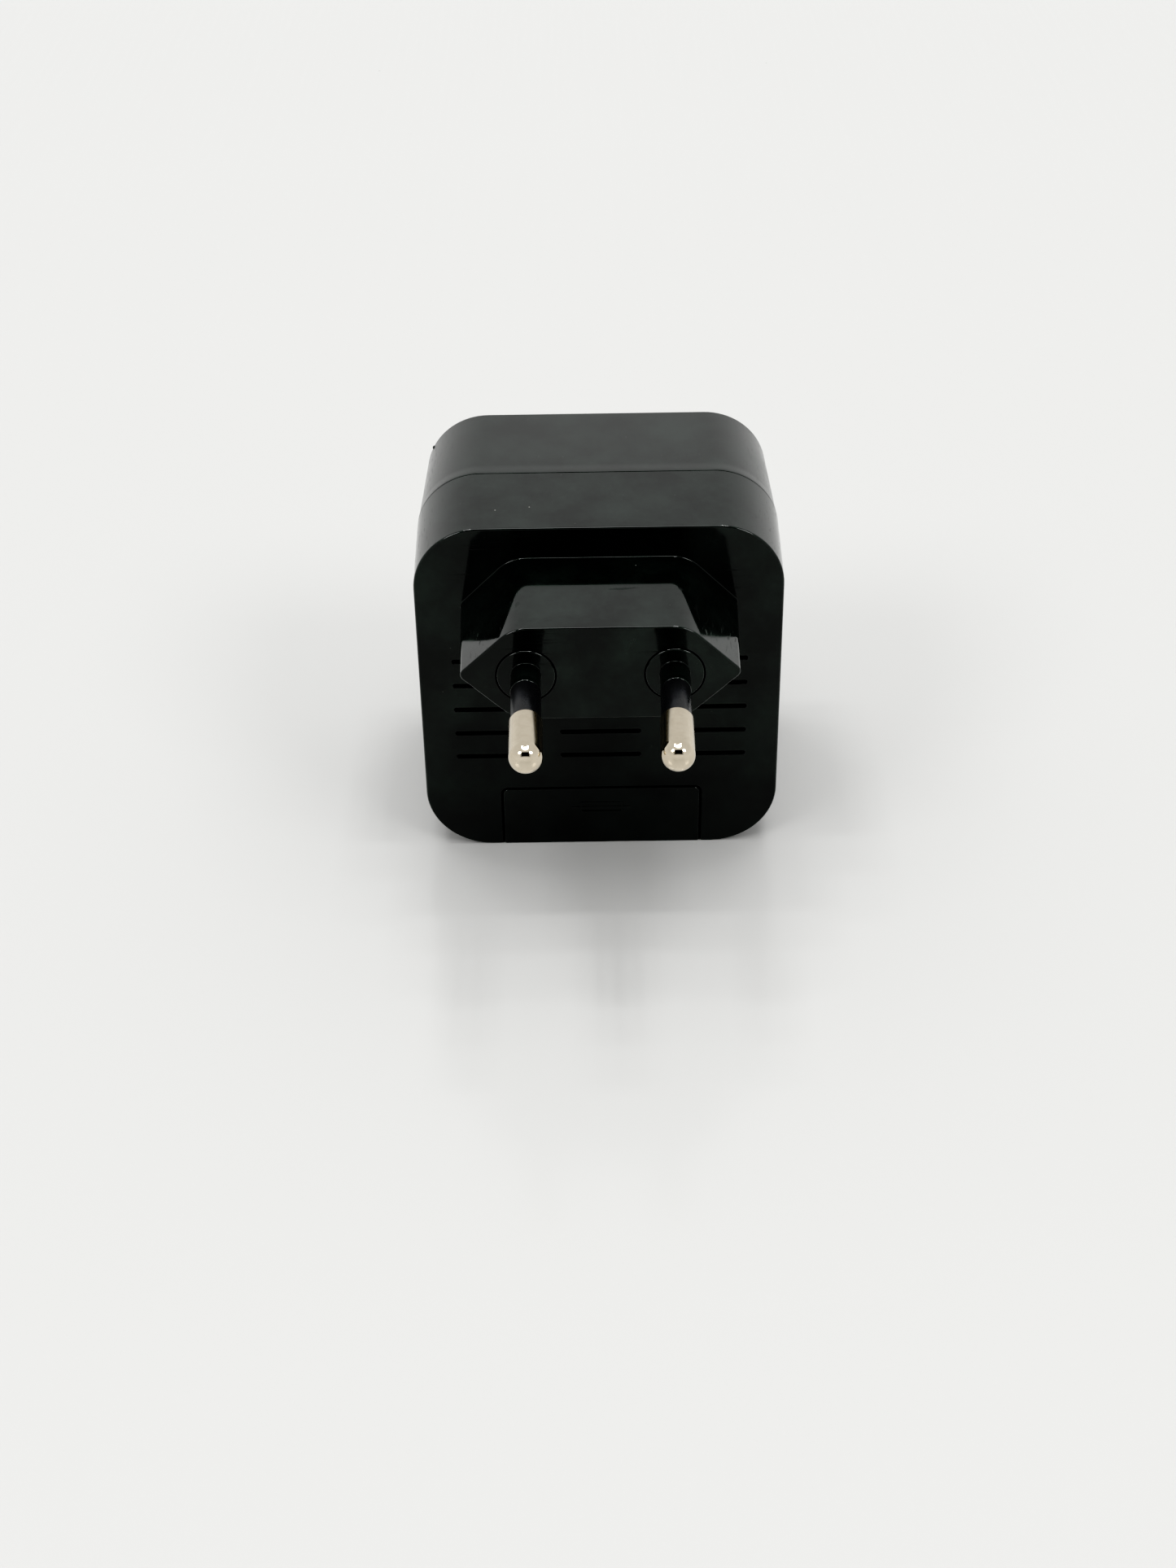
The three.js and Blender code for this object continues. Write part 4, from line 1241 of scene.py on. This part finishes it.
@dataclass
class Socket(Assembly):
    """Socket side: faceplate, shutter and its springs."""

    plate: Triple = (17.9, 13.6, 45.4)
    corner: float = 3.7
    line_z: float = 19.6
    earth_z: float = 41.8
    spring_x: float = 12.4
    spring_y: float = 11.6
    turns: int = 7
    coil_radius: float = 1.2
    wire: float = 0.22
    thick: float = 3.1
    depth: float = 4.5
    flare: float = 0.22
    ring: tuple[float, float] = (2.2, 2.7)
    round_hole: tuple[float, float] = (9.5, 2.7)
    flat_hole: Triple = (11.1, 3.7, 2.5)
    upright_hole: Triple = (6.6, 1.1, 4.1)
    earth_hole: tuple[float, float] = (4.5, 2.4)
    hole_corner: float = 0.4
    flange: Triple = (1.1, 0.7, 0.8)
    notch_half: float = 3.6
    travel: float = 9.4

    def __post_init__(self) -> None:
        """Takes the plate's and the shutter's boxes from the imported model."""
        self.outer = high("socket_faceplate")[1]
        self.inner = self.outer - self.thick
        self.gate_low, self.gate_high = low("shutter"), high("shutter")

    def aperture(self, side: Side) -> bpy.types.Object:
        """Cutter of one live or neutral aperture: three holes joined, with rounded mouths.

        Args:
            side: left or right of the middle.

        Returns:
            The object, to be cut away from the plate.
        """
        z, (place, radius) = self.line_z, self.round_hole
        stations = hole_stations(self.outer, self.flare, self.depth, -1)
        shapes = [disc(radius, side.value * place, z)]
        for place, half, rise in (self.flat_hole, self.upright_hole):
            shapes.append(rect(half, z - rise, z + rise, self.hole_corner, side.value * place, 5))
        first, *others = [prism(shape, stations) for shape in shapes]
        return work_on(put_mesh("hole", first), Cut.TOGETHER, *others)

    def faceplate(self) -> bpy.types.Object:
        """Plate with a rounded rim, a shallow dished ring round the socket and three apertures.

        Returns:
            The object.
        """
        half, bottom, top = self.plate
        shape = rect(half, bottom, top, self.corner, steps=12)
        stations = [(self.inner, 0.0)] + round_over(self.outer, 0.3, -1, 5)[::-1]
        piece = put_mesh("socket_plate", prism(shape, stations))
        wider, lower, higher = self.flange
        flange = rect(half + wider, bottom - lower, top + higher, self.corner + 1.5, steps=8)
        work_on(piece, Cut.TOGETHER, prism(flange, [(self.inner, 0.0), (self.inner + 1.0, 0.0)]))
        outer, inner = (rect(half - inset, bottom + inset, top - inset, self.corner + 1.0 - inset, steps=8)
                        for inset in self.ring)
        ring = put_mesh("ring", prism(outer, hole_stations(self.outer, 0.12, 0.35, -1)))
        work_on(ring, Cut.AWAY, prism(inner, [(self.outer + 1, 0.0), (self.outer - 1, 0.0)]))
        combine(piece, ring, Cut.AWAY)
        across, rise = self.earth_hole
        earth = rect(across, self.earth_z - rise, self.earth_z + rise, self.hole_corner, steps=5)
        work_on(piece, Cut.AWAY, prism(earth, hole_stations(self.outer, self.flare, self.depth, -1)))
        ribs = []
        depth = (self.gate_low[1] - 0.1, self.inner + 0.5)
        for side in Side:
            combine(piece, self.aperture(side), Cut.AWAY)
            ribs.append(block(side.span(15.9, 16.9), depth, (14.6, 39.1)))
            seat = side.span(self.spring_x - 2, self.spring_x + 2)
            ribs.append(block(seat, depth, (39.15, 40.3)))
        return work_on(piece, Cut.TOGETHER, gathered(ribs))

    def gate(self) -> bpy.types.Object:
        """Shutter: a plate whose outer side slopes, with a notch between its two wings.

        Returns:
            The object.
        """
        half = self.gate_high[0]
        back, front = self.gate_low[1], self.gate_high[1]
        bottom, top = self.gate_low[2], self.gate_high[2]
        slope = [[back + 0.8, bottom], [front, top - 1.6]]
        corners = np.array([[back, bottom], *slope, [front, top], [back, top]])
        section = Outline(corners, np.array([0.1, 0.15, 0.6, 0.2, 0.1]), 4)
        rounded = round_over(-half, 0.2, 1, 3) + round_over(half, 0.2, -1, 3)[::-1]
        rings = tube_rings(section, section, rounded)
        swapped = np.stack([rings[..., 1], rings[..., 0], rings[..., 2]], axis=-1)
        wide = (-self.notch_half, self.notch_half)
        notch = block(wide, (back - 1, front + 1), (bottom - 1, top - 4.2), 0.8)
        return work_on(put_mesh("shutter_gate", loft(swapped)), Cut.AWAY, notch)

    def coil(self, side: Side) -> bpy.types.Object:
        """Coil spring: a round wire carried along a helix whose end turns lie close.

        The helix's angle is even; its height eases in and out over the first and the last turn.

        Args:
            side: left or right spring.

        Returns:
            The object.
        """
        along = np.linspace(0, 1, self.turns * 20 + 1)
        angle = 2 * math.pi * self.turns * along
        start, end = low("shutter_spring_left")[2] + 0.25, high("shutter_spring_left")[2] - 0.25
        height = start + (end - start) * (along - np.sin(2 * math.pi * along) / (2 * math.pi) * 0.45)
        middle = np.column_stack([side.value * self.spring_x + self.coil_radius * np.cos(angle),
                                  self.spring_y + self.coil_radius * np.sin(angle), height])
        ahead = unit(np.gradient(middle, axis=0))
        out = np.column_stack([np.cos(angle), np.sin(angle), np.zeros_like(angle)])
        third = np.cross(ahead, out)
        around = np.linspace(0, 2 * math.pi, 10, endpoint=False)
        round_it = np.cos(around)[:, None] * out[:, None, :] + np.sin(around)[:, None] * third[:, None, :]
        return put_mesh(f"shutter_coil_{side.label}", loft(middle[:, None, :] + self.wire * round_it))

    def build(self) -> None:
        """Makes the plate, the shutter and the two springs."""
        self.place(self.faceplate(), Body.CASING, "shell_satin", "shell_black", "socket_faceplate")
        self.place(self.gate(), Body.SHUTTER, "inner_black", "inner_black", "shutter")
        for side in Side:
            piece = self.coil(side)
            self.place(piece, Body.CASING, "steel", "steel", f"shutter_spring_{side.label}")
            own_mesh(piece)


# ---------------------------------------------------------------- ports and screws

@dataclass
class ChargingPort(Assembly):
    """One charging port: a folded steel shell, an insulating tongue and four contact strips."""

    side: Side = Side.LEFT
    sheet: float = 0.35
    corner: float = 0.6
    mouth_round: float = 0.12
    spring_x: float = 2.9
    spring_half: float = 1.0
    spring_reach: tuple[float, float] = (3.0, 8.0)
    slit: float = 0.12
    block_half: float = 5.8
    block_end: float = 6.5
    block_z: tuple[float, float] = (5.9, 10.2)
    blade_half: float = 5.5
    blade_z: tuple[float, float] = (8.0, 9.9)
    nose: float = 0.4
    strip_half: float = 0.5
    strip_ends: tuple[tuple[float, float], ...] = ((-3.5, 1.2), (-1.0, 2.2), (1.0, 2.2), (3.5, 1.2))

    def __post_init__(self) -> None:
        """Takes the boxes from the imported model."""
        self.low, self.high = low(f"usb_shell_{self.side.label}"), high(f"usb_shell_{self.side.label}")
        self.x = (self.low[0] + self.high[0]) / 2

    def shell(self) -> bpy.types.Object:
        """Folded shell with rounded corners, a rolled mouth and two spring tongues in its upper wall.

        Returns:
            The object.
        """
        half, mouth = (self.high[0] - self.low[0]) / 2, self.high[1]
        shape = rect(half, self.low[2], self.high[2], self.corner, self.x, 6)
        stations = [(self.low[1], 0.0)] + round_over(mouth, self.mouth_round, -1, 3)[::-1]
        piece = put_mesh(f"usb_{self.side.label}_shell", prism(shape, stations))
        s = self.sheet
        room = rect(half - s, self.low[2] + s, self.high[2] - s, 0.35, self.x, 6)
        work_on(piece, Cut.AWAY, prism(room, hole_stations(mouth, 0.1, mouth - self.low[1] - s, -1)))
        lift = (self.high[2] - 1, self.high[2] + 1)
        near, far = self.spring_reach
        slit, across = self.slit, self.spring_half - self.slit - 0.01
        slits = []
        for hand in (-1, 1):
            middle = self.x + hand * self.spring_x
            for edge in (-1, 1):
                x = middle + edge * self.spring_half
                slits.append(block((x - slit, x + slit), (mouth - far, mouth - near), lift, 0.05, 0.05))
            end = (mouth - near - 0.3, mouth - near - 0.02)
            slits.append(block((middle - across, middle + across), end, lift, 0.05, 0.05))
        return work_on(piece, Cut.AWAY, gathered(slits))

    def tongue(self) -> bpy.types.Object:
        """Insulating block and tongue with a chamfered nose.

        Returns:
            The object.
        """
        tongue_low, tongue_high = low(f"usb_tongue_{self.side.label}"), high(f"usb_tongue_{self.side.label}")
        x, y = (self.x - self.block_half, self.x + self.block_half), (tongue_low[1], self.block_end)
        piece = put_mesh(f"usb_{self.side.label}_tongue", block(x, y, self.block_z))
        blade = rect(self.blade_half, *self.blade_z, 0.3, self.x, 4)
        stations = [(self.block_end - 0.5, 0.0)] + round_over(tongue_high[1], self.nose, -1, 3)[::-1]
        return work_on(piece, Cut.TOGETHER, prism(blade, stations))

    def strips(self) -> bpy.types.Object:
        """Four contact strips under the tongue, the outer two longer.

        Returns:
            The object.
        """
        reach = high(f"usb_tongue_{self.side.label}")[1]
        parts = []
        half, top = self.strip_half, self.blade_z[0] + 0.04
        for place, short in self.strip_ends:
            x = (self.x + place - half, self.x + place + half)
            parts.append(block(x, (self.block_end + 0.5, reach - short), (top - 0.17, top), 0.05, 0.05))
        return put_mesh(f"usb_{self.side.label}_strips", gathered(parts))

    def build(self) -> None:
        """Makes the shell, the tongue and the strips."""
        label = self.side.label
        self.place(self.shell(), Body.CASING, "steel", "steel", f"usb_shell_{label}")
        self.place(self.tongue(), Body.CASING, "inner_black", "inner_black", f"usb_tongue_{label}")
        self.place(self.strips(), Body.CASING, "brass", "brass")


@dataclass
class CaseScrew(Assembly):
    """Pan-headed case screw with a cross recess and a rolled thread."""

    side: Side = Side.LEFT
    shank: float = 1.05
    crest: float = 1.2
    pitch: float = 0.9
    head_height: float = 1.8
    head_round: float = 0.85
    recess: tuple[float, float] = (1.3, 0.27)
    recess_depth: float = 1.1

    def build(self) -> None:
        """Turns the screw and sinks its recess."""
        node = f"case_screw_{self.side.label}"
        start, end = low(node), high(node)
        centre = (start + end) / 2
        tip, top, head = start[1], end[1], (end[0] - start[0]) / 2
        under, r = top - self.head_height, self.head_round
        count = int((under - 3 - tip - 1.5) / self.pitch)
        ridge = np.arange(count)[:, None] * self.pitch + tip + 1.5 + np.array([0.0, 0.35, 0.5, 0.85])
        radii = np.tile([self.shank, self.crest, self.crest, self.shank], count)
        profile = np.vstack([
            [[0, tip], [0.4, tip + 0.05], [self.shank, tip + 1.2]], np.column_stack([radii, ridge.ravel()]),
            [[self.shank, under], [head - 0.1, under]],
            arc((head - 0.12, under + 0.12), 0.12, -60, 0, 3), [[head, top - 0.9]],
            arc((head - r, top - r), r, 10, 80, 6), [[0, top]]])
        piece = put_mesh(f"screw_{self.side.label}", turned_profile(profile, centre, 1, 48))
        across, _, up = centre
        deep = (top - self.recess_depth, top + 1)
        slots = [block((across - x, across + x), deep, (up - z, up + z), 0.1, 0.1)
                 for x, z in (self.recess, self.recess[::-1])]
        cross = work_on(put_mesh("cross", slots[0]), Cut.TOGETHER, slots[1])
        self.place(combine(piece, cross, Cut.AWAY), Body.CASING, "steel", "steel", node)


@dataclass
class Inside(Assembly):
    """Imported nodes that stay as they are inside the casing, dressed in their slots' finishes."""

    kept: dict[str, str] = field(default_factory=lambda: {
        "contact_carrier": "inner_black", "pin_clamp_plate": "inner_black", "fuse_bay": "inner_black",
        "socket_contact_live": "brass", "socket_contact_neutral": "brass",
        "busbar_live": "brass", "busbar_neutral": "brass",
        "fuse_clip_left": "brass", "fuse_clip_right": "brass",
        "circuit_board": "board_green", "transformer_core": "ferrite", "transformer_winding": "tape_yellow",
        "bulk_capacitor_left": "inner_black", "bulk_capacitor_right": "inner_black",
        "output_capacitor": "capacitor_blue", "bridge_rectifier": "inner_black",
        "controller_chip": "inner_black", "safety_capacitor": "capacitor_blue",
    })

    def build(self) -> None:
        """Dresses each node."""
        for node, finish in self.kept.items():
            self.wardrobe.dress_node(node, finish)
            LOG.info("%s: packed node, dressed in %s", node, finish)


# ---------------------------------------------------------------- stage

@dataclass(frozen=True)
class Lamp:
    """A distant lamp: where it is, how wide it looks in degrees, and its share of the light on the floor."""

    name: str
    towards: Triple
    width: float
    share: float


@dataclass
class Studio:
    """Pale floor, even white surround and camera."""

    lens: float = 52.31
    eye: Triple = (-0.88, -265.8, 185.7)
    target: Triple = (0.0, -50.0, 37.0)
    pitch: float = math.radians(35.2)
    yaw: float = math.radians(-0.206)
    roll: float = math.radians(-0.947)
    surround: float = 0.8
    horizon: float = 0.9
    card: tuple[float, float] = (0.42, 0.3)
    tone: tuple[tuple[float, float], ...] = (
        (0.02, 0.0014), (0.04, 0.0068), (0.06, 0.0275), (0.1, 0.0685), (0.3, 0.277))
    floor_color: Triple = (0.555, 0.555, 0.548)
    ceiling_columns: tuple[float, ...] = (-0.32, 0.222)
    ceiling_rows: tuple[tuple[float, float], ...] = ((-0.027, 0.08), (0.166, 0.05), (0.376, 0.042))
    ceiling_spread: tuple[float, ...] = (-0.06, 0.0, 0.06)
    ceiling_width: float = 2.6
    broad: Lamp = Lamp("broad", (0.0, -0.1, 1.0), 36.0, 0.26)
    side_share: float = 0.2
    side_towards: Triple = (0.66, -0.6, 0.75)
    side_width: float = 20.0
    floor_radius: float = 3000.0
    floor_drop: float = 0.02
    floor_gloss: tuple[float, float] = (0.16, 0.22)

    def lamps(self) -> list[Lamp]:
        """A broad lamp overhead, rows of small ceiling lamps in two columns, and one low on either side.

        Each ceiling lamp is three narrow ones side by side, so that it is wider than it is deep.

        Returns:
            The lamps.
        """
        found = [self.broad]
        for row, (back, share) in enumerate(self.ceiling_rows):
            for column, across in enumerate(self.ceiling_columns):
                for part, shift in enumerate(self.ceiling_spread):
                    towards = (across + shift, back, 1.0)
                    name = f"ceiling_{row}_{column}_{part}"
                    found.append(Lamp(name, towards, self.ceiling_width, share / len(self.ceiling_spread)))
        for side in Side:
            across, back, up = self.side_towards
            towards = (side.value * across, back, up)
            found.append(Lamp(f"side_{side.label}", towards, self.side_width, self.side_share))
        return found

    def camera(self) -> None:
        """Camera in front of and above the adapter, looking down at it."""
        data = bpy.data.cameras.new("camera")
        data.lens = self.lens
        data.sensor_fit = "AUTO"
        data.sensor_width = 36.0
        data.clip_start, data.clip_end = 0.01, 20.0
        camera = bpy.data.objects.new("camera", data)
        ahead = Vector((math.sin(self.yaw) * math.cos(self.pitch), math.cos(self.yaw) * math.cos(self.pitch),
                        -math.sin(self.pitch)))
        turn = ahead.to_track_quat("-Z", "Y").to_matrix().to_4x4()
        camera.matrix_world = turn
        camera.rotation_euler.rotate_axis("Z", self.roll)
        camera.location = Vector(self.eye) * MM
        bpy.context.scene.collection.objects.link(camera)
        bpy.context.scene.camera = camera

    def floor(self) -> None:
        """Round pale floor with a soft gloss and faint long wipe marks."""
        angle = np.linspace(0, 2 * math.pi, 96, endpoint=False)
        far = self.floor_radius
        ring = np.column_stack([far * np.cos(angle), far * np.sin(angle), np.full(96, -self.floor_drop)])
        mesh = bpy.data.meshes.new("floor")
        mesh.from_pydata((ring * MM).tolist(), [], [list(range(96))])
        piece = bpy.data.objects.new("floor", mesh)
        bpy.context.scene.collection.objects.link(piece)
        recipe = Recipe("floor_white", IOR=1.45)
        dust = recipe.specks(34.0, 0.011, 0.5)
        faint = recipe.math("MULTIPLY", dust, 0.35)
        recipe.set(Base_Color=recipe.blend(faint, self.floor_color, (0.1, 0.1, 0.1)))
        wiped = recipe.noise(1.0, 2.0, 0.5, recipe.stretched((0.7, 0.02, 1.0)))
        recipe.set(Roughness=recipe.span(wiped, 0.3, 0.7, *self.floor_gloss))
        mesh.materials.append(recipe.material)

    def surroundings(self) -> None:
        """Even pale surround with a dark card about the lens, which only shows in mirror-like pieces.

        The card covers directions whose distance from the lens's direction, across and upwards, stays
        within its half sizes.
        """
        world = bpy.data.worlds.new("surround")
        tree = Tree(world)
        direction = tree.add("TexCoord", {}).outputs["Object"]
        towards = unit(np.array(self.eye) - np.array(self.target))
        upward = unit(np.cross(np.cross(towards, (0, 0, 1)), towards))

        def along(axis: Sequence[float]) -> Wire:
            """How far the direction reaches along an axis."""
            inputs = {0: direction, 1: tuple(axis)}
            return tree.add("VectorMath", inputs, operation="DOT_PRODUCT").outputs["Value"]

        card = tree.math("GREATER_THAN", along(towards), 0.0)
        for axis, half in (((1.0, 0.0, 0.0), self.card[0]), (upward, self.card[1])):
            within = tree.span(tree.math("ABSOLUTE", along(axis)), half * 0.8, half * 1.2, 1.0, 0.0)
            card = tree.math("MULTIPLY", card, within)
        glow = tree.span(along((0.0, 0.0, 1.0)), 0.05, 0.45, self.horizon, self.surround)
        background = tree.nodes["Background"]
        tree.give(background.inputs["Strength"], tree.span(card, 0.0, 1.0, glow, 0.02))
        tree.give(background.inputs["Color"], (1.0, 1.0, 0.99))
        bpy.context.scene.world = world

    def light(self) -> None:
        """Puts up the lamps."""
        for lamp in self.lamps():
            data = bpy.data.lights.new(lamp.name, "SUN")
            data.angle = math.radians(lamp.width)
            data.energy = math.pi * lamp.share
            made = bpy.data.objects.new(lamp.name, data)
            made.rotation_euler = Vector(lamp.towards).to_track_quat("Z", "Y").to_euler()
            made.location = Vector(lamp.towards)
            bpy.context.scene.collection.objects.link(made)

    def build(self) -> None:
        """Sets up camera, floor, light and tone."""
        self.camera()
        self.floor()
        self.surroundings()
        self.light()
        view = bpy.context.scene.view_settings
        view.view_transform = "Standard"
        view.look = "None"
        view.use_curve_mapping = True
        for point in self.tone:
            view.curve_mapping.curves[3].points.new(*point)
        view.curve_mapping.update()


def main() -> None:
    """Builds every assembly in order."""
    logging.basicConfig(level=logging.INFO, format="%(name)s: %(message)s")
    wardrobe = Wardrobe()
    Studio().build()
    FrontShell(wardrobe).build()
    RearShell(wardrobe).build()
    for side in Side:
        PlugPin(wardrobe, side).build()
        ChargingPort(wardrobe, side).build()
        CaseScrew(wardrobe, side).build()
    FuseDrawer(wardrobe).build()
    Socket(wardrobe).build()
    Inside(wardrobe).build()


if __name__ == "__main__":
    main()
